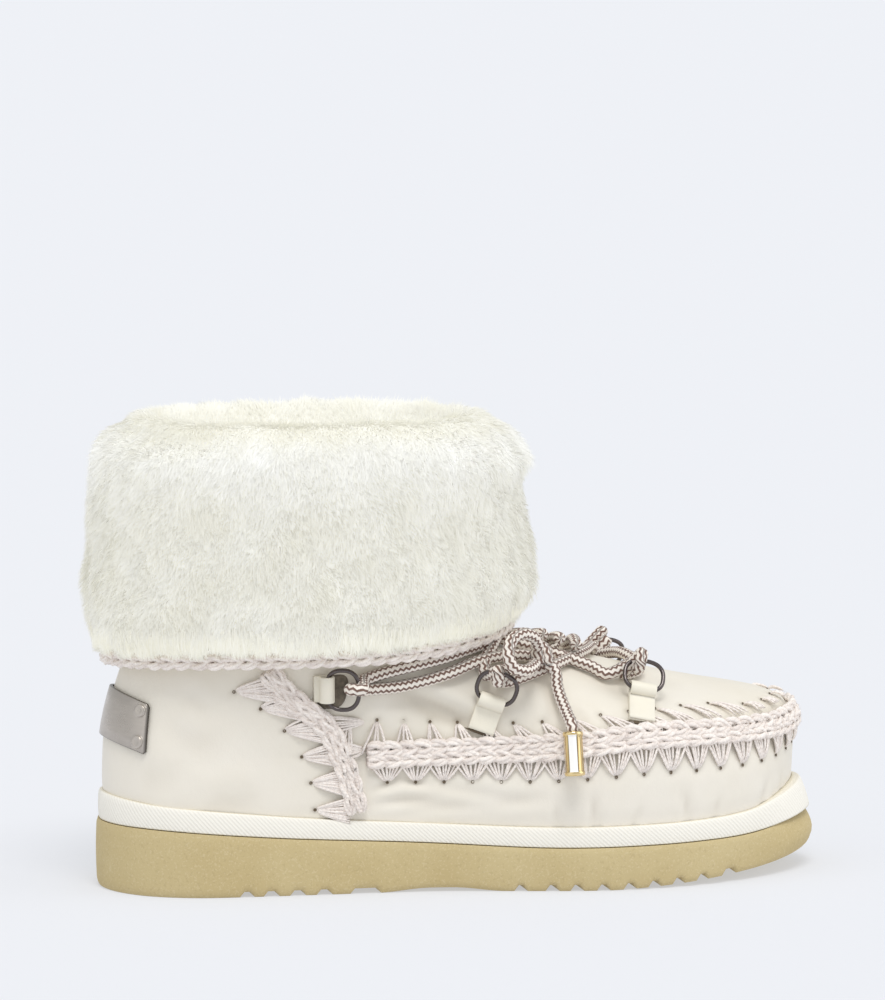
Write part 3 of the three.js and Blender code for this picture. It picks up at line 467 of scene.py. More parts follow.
def make_mesh(name, points, faces, material, slot, replaced=None, uv=None, shade=None, normals=None):
    """One object from points in millimetres and quads or triangles, with uv and shade for each point."""
    mesh = bpy.data.meshes.new(name)
    points = placed(points).reshape(-1, 3)
    groups = [np.asarray(group, np.int32) for group in (faces if isinstance(faces, list) else [faces])]
    loops = np.concatenate([group.ravel() for group in groups])
    sizes = np.concatenate([np.full(len(group), group.shape[1], np.int32) for group in groups])
    starts = np.concatenate([[0], np.cumsum(sizes)[:-1]]).astype(np.int32)
    mesh.vertices.add(len(points))
    mesh.vertices.foreach_set("co", points.ravel().astype(np.float32))
    mesh.loops.add(len(loops))
    mesh.loops.foreach_set("vertex_index", loops)
    mesh.polygons.add(len(sizes))
    mesh.polygons.foreach_set("loop_start", starts)
    mesh.polygons.foreach_set("loop_total", sizes)
    mesh.polygons.foreach_set("use_smooth", np.full(len(sizes), True))
    mesh.update(calc_edges=True)
    if uv is not None:
        layer = mesh.uv_layers.new(name="UVMap")
        layer.data.foreach_set("uv", np.asarray(uv, np.float32).reshape(-1, 2)[loops].ravel())
    if shade is not None:
        attribute = mesh.attributes.new("shade", "FLOAT", "POINT")
        attribute.data.foreach_set("value", np.asarray(shade, np.float32).ravel())
    if normals is not None:
        mesh.normals_split_custom_set_from_vertices(np.asarray(normals, float).reshape(-1, 3).tolist())
    mesh.materials.append(material)
    obj = link(bpy.data.objects.new(name, mesh))
    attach(obj, "root")
    if replaced:
        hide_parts(replaced)
    return obj


def grid_faces(rows, columns, wrap_rows=False):
    """Quads of a grid of points stored row by row, each row closed."""
    i, j = np.meshgrid(np.arange(rows if wrap_rows else rows - 1), np.arange(columns), indexing="ij")
    down = (i + 1) % rows
    right = (j + 1) % columns
    quads = np.stack([i * columns + j, i * columns + right, down * columns + right, down * columns + j], -1)
    return quads.reshape(-1, 4)


def make_grid(name, rows, material, slot, replaced=None, wrap_rows=False, more_faces=(), capped=False,
              **looks):
    """One object from rows of points, each row closed. capped closes the first and last rows with a face."""
    rows = np.asarray(rows)
    count, width = rows.shape[:2]
    faces = [grid_faces(count, width, wrap_rows), *more_faces]
    if capped:
        ends = np.arange(width)[None]
        faces += [ends[:, ::-1], ends + (count - 1) * width]
    return make_mesh(name, rows, faces, material, slot, replaced, **looks)


# How far the last ring of a tube is drawn in to its middle.
end_pinch = 0.7


def tube_mesh(paths, radii, sides, ups):
    """Many tubes at once: paths are tubes x points x 3, and ups is the way that their seams face."""
    count, steps = paths.shape[:2]
    ups = np.broadcast_to(np.asarray(ups, float), paths.shape)
    tangent = unit(np.gradient(paths, axis=1))
    side = unit(np.cross(tangent, ups))
    up = np.cross(side, tangent)
    ring = circle(0.0, 1.0, up[:, :, None], side[:, :, None], sides)
    points = paths[:, :, None] + ring * radii[..., None, None]
    for end in (0, -1):
        points[:, end] = mix(points[:, end], paths[:, end][:, None], end_pinch)
    offsets = np.arange(count)[:, None, None] * steps * sides
    uv = np.stack(np.broadcast_arrays(reach_along(paths)[..., None], np.arange(sides) / sides), -1)
    ends = np.arange(sides)
    caps = np.concatenate([(offsets[:, 0] + ends[::-1]), (offsets[:, 0] + ends + (steps - 1) * sides)])
    return points, [(grid_faces(steps, sides)[None] + offsets).reshape(-1, 4), caps], uv


def smooth_path(points, steps):
    """Points evenly spaced along a smooth curve through given ones."""
    reach = reach_along(points)
    curves = [curve_through(reach, points[:, i]) for i in range(3)]
    fine = np.stack([curve(np.linspace(0, reach[-1], 12 * steps)) for curve in curves], -1)
    lengths = reach_along(fine)
    even = np.linspace(0, lengths[-1], steps)
    return np.stack([np.interp(even, lengths, fine[:, i]) for i in range(3)], -1)


def path_length(points):
    return np.linalg.norm(np.diff(points, axis=0), axis=1).sum()


# Materials
def srgb(red, green, blue):
    """Linear colour of an 8-bit one."""
    channels = np.array([red, green, blue]) / 255
    return (*np.where(channels <= 0.04045, channels / 12.92, ((channels + 0.055) / 1.055) ** 2.4), 1.0)


class Nodes:
    """Short forms for the node trees of the materials."""

    def __init__(self, name, roughness, **sockets):
        self.material = bpy.data.materials.new(name)
        self.material.use_nodes = True
        self.tree = self.material.node_tree
        self.shader = self.tree.nodes["Principled BSDF"]
        self.shader.inputs["Roughness"].default_value = roughness
        for key, value in sockets.items():
            self.shader.inputs[key.replace("_", " ")].default_value = value

    def add(self, kind, inputs=None, **settings):
        node = self.tree.nodes.new(kind)
        for key, value in settings.items():
            setattr(node, key, value)
        for key, value in (inputs or {}).items():
            self.feed(node.inputs[key], value)
        return node

    def feed(self, socket, value):
        if isinstance(value, bpy.types.NodeSocket):
            self.tree.links.new(value, socket)
        else:
            socket.default_value = value

    def math(self, operation, a, b=0.0, c=0.0):
        return self.add("ShaderNodeMath", {0: a, 1: b, 2: c}, operation=operation).outputs[0]

    def place(self, scale=(1, 1, 1)):
        source = self.add("ShaderNodeTexCoord").outputs["Object"]
        return self.add("ShaderNodeMapping", {"Vector": source, "Scale": scale}).outputs[0]

    def noise(self, scale, detail, vector=None):
        inputs = {"Scale": scale, "Detail": detail, "Roughness": 0.55, "Vector": vector or self.place()}
        return self.add("ShaderNodeTexNoise", inputs).outputs["Fac"]

    def ramp(self, factor, low, high, start=0.0, end=1.0):
        node = self.add("ShaderNodeValToRGB", {"Fac": factor})
        node.color_ramp.elements[0].position = start
        node.color_ramp.elements[0].color = low
        node.color_ramp.elements[1].position = end
        node.color_ramp.elements[1].color = high
        return node.outputs["Color"]

    def blend(self, factor, a, b):
        node = self.add("ShaderNodeMix", data_type="RGBA")
        for key, value in ((0, factor), (6, a), (7, b)):
            self.feed(node.inputs[key], value)
        return node.outputs[2]

    def shade(self):
        return self.add("ShaderNodeAttribute", attribute_name="shade").outputs["Fac"]

    def uv(self):
        source = self.add("ShaderNodeUVMap").outputs["UV"]
        split = self.add("ShaderNodeSeparateXYZ", {0: source})
        return split.outputs[0], split.outputs[1]

    def color(self, value):
        self.feed(self.shader.inputs["Base Color"], value)

    def bump(self, height, distance, strength=1.0, under=None):
        inputs = {"Height": height, "Distance": distance, "Strength": strength}
        node = self.add("ShaderNodeBump", inputs)
        if under is not None:
            self.tree.links.new(under, node.inputs["Normal"])
        self.feed(self.shader.inputs["Normal"], node.outputs[0])
        return node.outputs[0]


def make_leather(name, tone, deep):
    n = Nodes(name, 0.46, Specular_IOR_Level=0.42)
    base = n.ramp(n.noise(22, 4), deep, tone, 0.25, 0.6)
    # The shade attribute blends towards brown: painted shade in creases and round holes, and the darker foot
    # of the upper.
    n.color(n.blend(n.shade(), base, srgb(128, 108, 78)))
    cells = n.add("ShaderNodeTexVoronoi", {"Scale": 1150.0, "Vector": n.place()}, feature="DISTANCE_TO_EDGE")
    under = n.bump(n.math("MINIMUM", cells.outputs["Distance"], 0.12), 0.0003, 0.35)
    n.bump(n.noise(95, 5, n.place((1, 1, 0.6))), 0.0011, 0.32, under)
    n.feed(n.shader.inputs["Roughness"], n.math("MULTIPLY_ADD", n.noise(60, 3), 0.16, 0.38))
    return n.material


def make_foam():
    n = Nodes("foam", 0.78, Specular_IOR_Level=0.3)
    color = n.ramp(n.noise(30, 3), srgb(192, 173, 127), srgb(202, 185, 141), 0.3, 0.7)
    for scale, least, share, speck in ((1300, 0.6, 0.22, (226, 212, 178)), (900, 0.62, 0.16, (150, 128, 86))):
        specks = n.math("GREATER_THAN", n.noise(scale, 2), least)
        color = n.blend(n.math("MULTIPLY", specks, share), color, srgb(*speck))
    n.color(color)
    under = n.bump(n.noise(1400, 3), 0.0002, 0.5)
    n.bump(n.noise(160, 3), 0.0003, 0.3, under)
    return n.material


def make_twill():
    n = Nodes("twill", 0.85, Sheen_Weight=0.15)
    along, up = n.uv()
    ribs = n.math("SINE", n.math("ADD", n.math("MULTIPLY", along, 3.6), n.math("MULTIPLY", up, 3.6)))
    cross = n.math("SINE", n.math("MULTIPLY", n.math("SUBTRACT", along, up), 9.0))
    weave = n.math("MULTIPLY_ADD", cross, 0.35, ribs)
    clean = n.ramp(n.math("MULTIPLY_ADD", weave, 0.25, 0.5), srgb(238, 233, 221), srgb(248, 245, 236))
    # The shade attribute makes the band darker at its lower edge and where it turns in to the upper.
    n.color(n.blend(n.shade(), clean, srgb(206, 188, 140)))
    n.bump(weave, 0.00012, 0.5)
    return n.material


def dimmed(tone, share):
    return tuple(share * part for part in tone[:3]) + (1.0,)


# Share of the wool's colour that the lights light; the rest glows.
wool_share = 0.76


def make_wool(name, tone, deep, glow):
    """Glow stands for the light that goes from hair to hair through the depth of the wool."""
    n = Nodes(name, 0.9, Sheen_Weight=0.2, Sheen_Roughness=0.5, Specular_IOR_Level=0.1,
              Emission_Strength=glow)
    share = n.math("MULTIPLY_ADD", n.noise(45, 3), 0.4, n.math("SUBTRACT", n.shade(), 0.18))
    n.color(n.blend(share, dimmed(tone, wool_share), dimmed(deep, wool_share)))
    n.feed(n.shader.inputs["Emission Color"], n.blend(share, tone, deep))
    return n.material


def make_lining():
    n = Nodes("lining", 0.95, Sheen_Weight=0.2)
    cells = n.add("ShaderNodeTexVoronoi", {"Scale": 260.0, "Vector": n.place()})
    n.color(n.ramp(cells.outputs["Distance"], srgb(252, 249, 240), srgb(234, 227, 210), 0.1, 0.9))
    under = n.bump(cells.outputs["Distance"], 0.0012, 0.7)
    n.bump(n.noise(700, 4), 0.0006, 0.6, under)
    return n.material


def make_yarn(name, tone, deep):
    n = Nodes(name, 0.92, Sheen_Weight=0.2, Specular_IOR_Level=0.2)
    # The shade attribute paints shade where stitches dive under their neighbours.
    share = n.math("MULTIPLY_ADD", n.noise(420, 3), 0.5, n.math("SUBTRACT", n.shade(), 0.25))
    n.color(n.blend(share, tone, deep))
    along, around = n.uv()
    plies = n.math("SINE", n.math("MULTIPLY_ADD", along, 4.0, n.math("MULTIPLY", around, 4 * math.pi)))
    under = n.bump(plies, 0.00015, 0.5)
    n.bump(n.noise(1600, 2), 0.00025, 0.5, under)
    return n.material


def make_lace():
    """Round braid: zigzag rows of white and brown yarn along the cord."""
    n = Nodes("lace", 0.85, Sheen_Weight=0.15, Specular_IOR_Level=0.25)
    along, around = n.uv()
    zigzag = n.math("PINGPONG", along, 1.05)
    turn = n.math("MULTIPLY_ADD", around, 6.0, n.math("MULTIPLY", zigzag, 0.36))
    rows = n.math("PINGPONG", turn, 0.5)
    soft = n.math("ADD", rows, n.math("MULTIPLY_ADD", n.noise(900, 2), 0.16, -0.08))
    n.color(n.ramp(soft, srgb(250, 242, 232), srgb(122, 94, 82), 0.22, 0.36))
    stitches = n.math("PINGPONG", n.math("MULTIPLY_ADD", around, 12.0, zigzag), 0.5)
    under = n.bump(stitches, 0.0005, 0.8)
    n.bump(n.noise(1500, 2), 0.0002, 0.4, under)
    return n.material


def make_metal(name, color, roughness, grain):
    n = Nodes(name, roughness, Metallic=1.0)
    brushed = n.ramp(n.noise(grain, 4, n.place((1, 1, 6))), dimmed(color, 0.8), color)
    # The shade attribute paints the heel plate's dark edge line.
    n.color(n.blend(n.shade(), brushed, srgb(52, 48, 44)))
    n.bump(n.noise(grain * 3, 3, n.place((1, 1, 8))), 0.00006, 0.3)
    n.feed(n.shader.inputs["Roughness"], n.math("MULTIPLY_ADD", n.noise(grain, 3), 0.2, roughness - 0.08))
    return n.material


def make_gold():
    """Polished barrel: pale strips between thin dark lines round it, and bands of lighter and darker gold
    that are painted reflections.
    """
    n = Nodes("gold", 0.12, Metallic=1.0)
    around, along = n.uv()
    strip = n.math("PINGPONG", n.math("MULTIPLY_ADD", around, 3.0, 0.533), 0.5)
    node = n.add("ShaderNodeValToRGB", {"Fac": n.math("MULTIPLY", strip, 2.0)})
    # The gold bands after the dark line, lighter and darker in turn, are painted reflections.
    strip_and_reflection_tones = [(0.0, (250, 248, 244)), (0.4, (255, 253, 248)), (0.45, (92, 72, 46)), (0.5, (206, 178, 122)),
             (0.72, (236, 214, 162)), (0.86, (168, 138, 84)), (1.0, (240, 222, 178))]
    ramp = node.color_ramp
    ramp.elements[0].color = srgb(*strip_and_reflection_tones[0][1])
    ramp.elements[1].color = srgb(*strip_and_reflection_tones[-1][1])
    for position, tone in strip_and_reflection_tones[1:-1]:
        ramp.elements.new(position).color = srgb(*tone)
    ends = n.math("GREATER_THAN", n.math("ABSOLUTE", n.math("SUBTRACT", along, 0.5)), 0.42)
    n.color(n.blend(ends, node.outputs["Color"], srgb(236, 212, 160)))
    plain = n.math("MAXIMUM", ends, n.math("GREATER_THAN", n.math("MULTIPLY", strip, 2.0), 0.42))
    n.feed(n.shader.inputs["Metallic"], plain)
    n.bump(n.noise(300, 3), 0.00004, 0.3)
    return n.material


def make_dark_patch():
    n = Nodes("dark_patch", 0.95, Sheen_Weight=0.3)
    n.color(n.ramp(n.noise(500, 4), srgb(96, 88, 76), srgb(134, 124, 109), 0.35, 0.7))
    n.bump(n.noise(1300, 4), 0.0005, 0.6)
    return n.material


def make_plain(name, color):
    n = Nodes(name, 0.9)
    n.color(color)
    return n.material


leather = make_leather("leather", srgb(235, 229, 217), srgb(230, 223, 208))
tab_leather = make_leather("tab_leather", srgb(242, 237, 222), srgb(237, 230, 212))
foam = make_foam()
twill = make_twill()
fur_wool = make_wool("fur", srgb(252, 252, 249), srgb(229, 227, 214), 0.41)
lining_wool = make_lining()
yarn = make_yarn("yarn", srgb(253, 245, 238), srgb(172, 146, 134))
lace_yarn = make_lace()
gunmetal = make_metal("gunmetal", srgb(104, 97, 96), 0.2, 240)
pewter = make_metal("pewter", srgb(204, 196, 187), 0.27, 180)
gold = make_gold()
dark_patch = make_dark_patch()
# Painted shade: the dark colour of the holes and of the slits that the tabs come out of.
hole_shade = make_plain("hole", srgb(112, 98, 80))


# Sole, platform and footbed
def lean_at(level):
    """How far the foam's toe draws in below and above its furthest reach, by the share of its height."""
    reach = 0.42
    above = np.clip((level - reach) / (1 - reach), 0, 1)
    below = np.clip((reach - level) / reach, 0, 1)
    return toe_overhang * above ** 1.6 + 0.6 * toe_overhang * below ** 2


def make_outsole():
    along = alongs_with_recesses()
    outer = turn_of(along)
    turns = np.concatenate([[0], outer, [1], (2 - outer)[::-1]])
    full = np.concatenate([[0], along, [1], along[::-1]])
    tread = tread_height(full)
    ground = tread + recess_at(full)
    top = sole_top(full)
    low_side = mix(ground, top, foam_edge_share)
    rows = []

    def add_row(inset, height):
        level = (height - tread) / (top - tread)
        rows.append(inset_point(turns, inset + toe_share(full) * lean_at(level), height))

    for angle in np.linspace(0, math.pi / 2, 5):
        add_row(mix(sole_edge_radius, foam_side_inset, math.sin(angle)),
                mix(ground, low_side, 1 - math.cos(angle)))
    for share in (0.2, 0.35, 0.5, 0.65, 0.8, 0.92, 1):
        side = mix(foam_side_inset, 0.4 * band_inset, share) - foam_bulge * math.sin(share * math.pi)
        add_row(side + (foam_top_inset if share == 1 else 0), mix(low_side, top, share))
    rows = np.array(rows)
    count = len(turns)
    half = len(along)
    across = np.linspace(0, 1, 9)[1:-1]
    left = rows[0, 1:half + 1]
    right = rows[0, :half + 1:-1]
    inside = left[:, None] + (right - left)[:, None] * across[None, :, None]
    width = len(across)
    table = np.empty((half, width + 2), int)
    table[:, 0] = 1 + np.arange(half)
    table[:, 1:-1] = len(rows) * count + np.arange(half * width).reshape(half, width)
    table[:, -1] = count - 1 - np.arange(half)
    bottom = np.stack([table[:-1, :-1], table[:-1, 1:], table[1:, 1:], table[1:, :-1]], -1).reshape(-1, 4)
    ends = [[tip, table[row, j], table[row, j + 1]]
            for row, tip in ((0, 0), (half - 1, half + 1)) for j in range(width + 1)]
    lid_start = (len(rows) - 1) * count
    lid = [[lid_start + 1 + j, lid_start + 2 + j, lid_start + count - 2 - j, lid_start + count - 1 - j]
           for j in range(half - 1)]
    obj = make_mesh("sole_foam", np.concatenate([rows.reshape(-1, 3), inside.reshape(-1, 3)]),
                    [grid_faces(len(rows), count), bottom[:, ::-1], np.array(ends), np.array(lid)],
                    foam, "foam", "outsole")
    obj.data.set_sharp_from_angle(angle=foam_edge_angle)


def alongs_with_recesses():
    slope = lug_slope / sole_length
    at_start = slope * np.array([-0.3, 0, 0.4, 1])
    edges = [edge for start, end in recess_rows[:, :2]
             for edge in (*(start + at_start), *(end - at_start[::-1]))]
    even = along_of(np.linspace(0, 1, 131)[1:-1])
    keep = [a for a in even if min(abs(a - e) for e in edges) > 0.5 * slope]
    return np.array(sorted(edges + keep))


# Side of the band from below, and the height of the side in the weave's own measure.
# Columns: inset, share of the height, darkening.
twill_length = 8.0
band_rows = [
    [0.6, 0.0, 1.6], [0.12, 0.0, 0.5], [0, 0.05, 0], [-0.25, 0.3, 0], [-0.3, 0.55, 0], [-0.15, 0.8, 0],
    [0.05, 0.93, 0], [0.35, 0.985, 0], [0.8, 1.01, 0.1], [1.2, 1.0, 0.2],
]


def make_band():
    turns = np.linspace(0, 2, 400, endpoint=False)
    along = along_of(turns)
    low = sole_top(along) + gap
    high = band_top(along)
    toe = toe_share(along)
    rows, shade, uv = [], [], []
    around = reach_along(outline(turns))

    def add_row(inset, height, darkening, up):
        rows.append(inset_point(turns, inset, height))
        shade.append(np.full(len(turns), min(1, darkening)))
        uv.append(np.stack([around, np.full(len(turns), up)], -1))

    # darkening blends the twill towards a dull yellow-brown: fully at the lower edge by the foam, less where
    # the band turns in to the upper.
    for inset, up, darkening in band_rows:
        add_row(mix(band_inset, band_toe_inset, toe * up) + inset * 0.8, mix(low, high, up), 0.75 * darkening,
                twill_length * up)
    wall = mix(mix(wall_heel(0.1), wall_ball(0.1), ease(0.3, 0.55, along)), wall_toe(0.1), toe)
    foot = band_inset * wall + upper_toe_setback * toe - 0.15
    edge = mix(band_inset, band_toe_inset, toe) + 1.1
    for share, rise, darkening in ((0.35, 0.12, 0.35), (0.8, 0.3, 0.75), (1.0, 0.75, 1.0), (1.0, 0.2, 1.0)):
        reach = np.maximum(edge, mix(edge, foot, share))
        add_row(reach, high + rise * (0.4 + toe), 0.6 * darkening, twill_length + 0.5 + rise)
    make_grid("band_twill", rows, twill, "twill", "midsole", uv=uv, shade=shade)


def make_insole():
    turns = np.linspace(0, 2, 220, endpoint=False)
    along = along_of(turns)
    edge = band_inset + rim_thickness + upper_wall + 3 * gap
    rows = []
    for share in (0, 0.05, 0.2, 0.5, 0.8, 1):
        cup = heel_cup_depth * (1 - ease(0.05, 0.35, along)) * ease(0, 0.6, share)
        inset = edge + (upper_toe_setback + upper_wall) * toe_share(along) + share * heel_width / 2.4
        rise = insole_thickness * ease(-0.2, 0.1, share) - cup
        rows.append(inset_point(turns, inset, seat_height(along) + gap + rise))
    count = len(turns)
    inner = (len(rows) - 1) * count
    lid = [[inner + j, inner + j + 1, inner + count - j - 1, inner + (count - j) % count]
           for j in range(1, count // 2 - 1)]
    make_grid("footbed_wool", rows, lining_wool, "shearling", "insole", more_faces=[np.array(lid)])


# Creases of the upper: soft troughs and ridges placed on its skin.
# Columns: start turn, start up, end turn, end up, half width, depth (below 0 is a ridge).
crease_rows = np.array([
    [0.425, 1.60, 0.505, 1.27, 3.6, 2.2],
    [0.45, 1.66, 0.54, 1.36, 4.5, -1.3],
    [0.41, 1.50, 0.47, 1.24, 3.0, 0.9],
    [0.654, 1.64, 0.591, 1.22, 3.2, 0.9],
    [0.63, 1.34, 0.60, 1.12, 2.6, 0.7],
    [0.70, 1.50, 0.74, 1.28, 5.0, 0.5],
    [0.80, 1.36, 0.9, 1.40, 6.0, 0.5],
    [0.402, 0.50, 0.429, 0.66, 1.9, 0.8],
    [0.405, 0.33, 0.464, 0.44, 1.8, 0.9],
    [0.412, 0.74, 0.455, 0.60, 1.8, 0.7],
    [0.43, 0.26, 0.50, 0.36, 2.2, 0.7],
    [0.46, 0.54, 0.53, 0.44, 2.2, 0.6],
    [0.50, 0.30, 0.556, 0.48, 2.4, 0.5],
    [0.564, 0.05, 0.562, 0.40, 1.6, 0.8],
    [0.598, 0.03, 0.592, 0.50, 1.9, 0.9],
    [0.632, 0.04, 0.64, 0.32, 1.6, 0.6],
    [0.693, 0.04, 0.684, 0.48, 1.8, 0.8],
    [0.724, 0.04, 0.73, 0.34, 1.6, 0.6],
    [0.80, 0.05, 0.81, 0.40, 2.0, 0.6],
    [0.86, 0.08, 0.855, 0.36, 1.8, 0.4],
    [0.22, 0.20, 0.30, 0.34, 5.0, 0.7],
    [0.16, 1.30, 0.26, 1.10, 8.0, 0.8],
    [0.12, 0.55, 0.22, 0.75, 7.0, 0.6],
    [0.19, 1.60, 0.25, 1.46, 4.0, 0.6],
])


def crease_depth(points):
    """How far each point of the skin is pressed in by the creases, on both sides of the foot."""
    depth = np.zeros(len(points))
    spans = 8
    for start_turn, start_up, end_turn, end_up, width, drop in crease_rows:
        turns = np.linspace(start_turn, end_turn, spans + 1)
        ups = np.linspace(start_up, end_up, spans + 1) + 0.012 * np.sin(np.linspace(0, 5, spans + 1))
        for side_turns in (turns, 2 - turns - 0.012):
            line = upper_point(side_turns, ups)
            near = np.full(len(points), 1e9)
            place = np.zeros(len(points))
            for k in range(spans):
                a, d = line[k], line[k + 1] - line[k]
                t = np.clip(((points - a) @ d) / (d @ d), 0, 1)
                distance = np.linalg.norm(points - a - t[:, None] * d, axis=1)
                closer = distance < near
                near = np.where(closer, distance, near)
                place = np.where(closer, (k + t) / spans, place)
            fade = np.sin(np.pi * np.clip(0.06 + 0.88 * place, 0, 1))
            trough = np.exp(-(near / width) ** 2) - 0.45 * np.exp(-((near - 1.9 * width) / width) ** 2)
            depth += drop * fade * trough
    return depth


# Dents of the leather in millimetres: along the apron's seam, and round each crochet hole.
seam_depth = 0.35
pit_depth = 0.5
pit_radius = 1.7
# Radius of the painted shade round each hole.
pit_shade_radius = 1.3
hole_radius = 0.62

# Crochet holes, as the share of the way round: spaced along the seam by the stitches between them.
apron_start_turn = 0.4
hole_pitch = 10.4
lower_hole_up = 0.63
upper_hole_rows = np.array([[0.36, 1.36], [0.406, 1.331], [0.475, 1.282], [0.571, 1.238], [0.641, 1.206],
                            [0.768, 1.161], [0.829, 1.083], [1, 1.07]])
ankle_hole_rows = np.array([[0.265, 1.648], [0.294, 1.48], [0.319, 1.263], [0.338, 1.009], [0.347, 0.63],
                            [0.351, 0.236]])
upper_hole_up = curve_through(upper_hole_rows[:, 0], upper_hole_rows[:, 1])
ankle_braid_rows = np.array([[0.3, 1.84], [0.315, 1.66], [0.333, 1.49], [0.351, 1.34], [0.366, 1.16],
                             [0.377, 0.94], [0.384, 0.6], [0.39, 0.24]])


def along_seam(up, first, last, pitch):
    """Turns at even distances along a line of the skin."""
    turns = np.linspace(first, last, 900)
    reach = reach_along(upper_point(turns, np.full(900, float(up))))
    return np.interp(np.arange(0, reach[-1], pitch), reach, turns)


lower_holes = along_seam(0.8, apron_start_turn + 0.018, 2 - apron_start_turn - 0.018, hole_pitch)
upper_holes = along_seam(1.1, apron_start_turn - 0.024, 2 - apron_start_turn + 0.024, hole_pitch * 1.08)


def upper_hole_ups(turns):
    return upper_hole_up(folded(turns))


def hole_places():
    """Turn and up of each hole: in the wall, in the vamp and down both ankles."""
    places = [(turn, lower_hole_up) for turn in lower_holes]
    places += zip(upper_holes, upper_hole_ups(upper_holes))
    return places + [(side(turn), up) for side in at_side.values() for turn, up in ankle_hole_rows]


def make_upper():
    turns = np.linspace(0, 2, 360, endpoint=False)
    ups = np.concatenate([np.linspace(0, 0.12, 4), np.linspace(0.16, 0.96, 24), np.linspace(0.98, 1.14, 12),
                          np.linspace(1.17, 2.0, 44), np.linspace(2.08, 3, 8)])
    turn, up = np.meshgrid(turns, ups)
    skin = upper_point(turn, up)
    flat = skin.reshape(-1, 3)
    flat_up = up.ravel()
    depth = crease_depth(flat)
    front = ease(apron_start_turn - 0.03, apron_start_turn + 0.02, 1 - np.abs(1 - turn.ravel()))
    depth += seam_depth * front * np.exp(-((flat_up - 1.0) / 0.05) ** 2)
    # Painted shade in the troughs of the creases; the leather is also darker along the foot of the upper,
    # next to the band.
    shade = 0.25 * np.exp(-(flat_up / 0.05) ** 2) + 0.16 * np.clip(depth, 0, 1.4) ** 1.3
    # Painted shade round each crochet hole, beside its dent.
    for spot in upper_point(*np.array(hole_places()).T):
        near = np.linalg.norm(flat - spot, axis=1)
        depth += pit_depth * np.exp(-(near / pit_radius) ** 2)
        shade += 0.3 * np.exp(-(near / pit_shade_radius) ** 2)
    outer = flat - upper_outward(turn, up).reshape(-1, 3) * depth[:, None]
    inner = off_upper(*np.meshgrid(turns, [3, 2.5, 2, 1.6, 1.3, 1.1, 1, 0.7, 0.3, 0]), -upper_wall)
    inner[0, :, 2] = skin[-1, :, 2]
    inner[-1, :, 2] = skin[0, :, 2]
    rows = np.concatenate([outer.reshape(skin.shape), inner])
    shade = np.concatenate([np.clip(shade, 0, 0.8), np.zeros(inner.size // 3)])
    make_grid("upper_leather", rows, leather, "leather", "upper", wrap_rows=True, shade=shade)


def make_shaft_wool():
    turns = np.linspace(0, 2, 240, endpoint=False)
    ups = np.concatenate([np.linspace(0.2, 1, 12), np.linspace(1.06, 2, 20), np.linspace(2.08, 2.74, 10)])
    turn, up = np.meshgrid(turns, ups)
    wool = lining_depth + 0.4 * np.sin(90 * turn + 30 * up) * np.sin(47 * up + 11 * turn)
    deeper = rim_lining_depth * ease(2.3, 2.64, up)
    points = off_upper(turn, up, -upper_wall - wool - deeper)
    make_mesh("shaft_wool", points, grid_faces(len(ups), len(turns))[:, ::-1], lining_wool, "shearling")


def soft_noise(points, size, seed, waves=14):
    """Smooth noise: a sum of waves in seeded directions, from -1 to 1 for most places."""
    chance = np.random.default_rng(seed)
    directions = unit(chance.normal(size=(waves, 3))) * (2 * np.pi / size)
    directions = directions * chance.uniform(0.6, 1.4, (waves, 1))
    phases = chance.uniform(0, 2 * np.pi, waves)
    flat = np.asarray(points, float).reshape(-1, 3)
    total = np.zeros(len(flat))
    for direction, phase in zip(directions, phases):
        total += np.sin(flat @ direction + phase)
    return (total * math.sqrt(2 / waves)).reshape(np.shape(points)[:-1])


# Section of the fur from the hem, over the crest and down inside the shaft.
# Columns: share of the height from hem to crest, distance in front of the leg's skin.
fur_rows = np.array([
    [0.0, 7.4], [0.015, 11.4], [0.055, 15.6], [0.13, 18.0], [0.26, 18.0], [0.5, 17.2], [0.74, 16.5],
    [0.84, 14.8], [0.91, 11.8], [0.96, 7.4], [0.99, 2.6], [1.0, -1.2], [0.988, -6.4], [0.95, -9.4],
    [0.88, -10.8], [0.8, -11.4], [0.7, -11.2], [0.6, -10.2],
])
cuff_height = 85
front_fullness = 3.6
heel_slimness = 4.2
fur_place = reach_along(fur_rows * [cuff_height, 1])
fur_height = curve_through(fur_place, fur_rows[:, 0])
fur_out = curve_through(fur_place, fur_rows[:, 1])
fur_end = fur_place[-1]
fur_crest = fur_place[np.argmax(fur_rows[:, 0])]

# Hairs of the fur, in millimetres: how far they lean down, reach into the wool and stand out of it, and half
# their width. At the crest they lean more, stand less and start deeper.
inner_lean, outer_lean, crest_lean = 2.4, 3.4, 0.7
hair_depth = (3.0, 4.6)
hair_stand = (-1.3, 0.8)
crest_drop = 3.4
crest_depth = 1.4
hair_half_width = (0.13, 0.25)

# Numbers of hairs: in each piece of the fur, in the wisps over the hem and in the fuzz of the yarn.
fur_pieces = 3
fur_hairs = 50000
wisps = 14000
apron_fuzz = 11000
ankle_fuzz = 2000


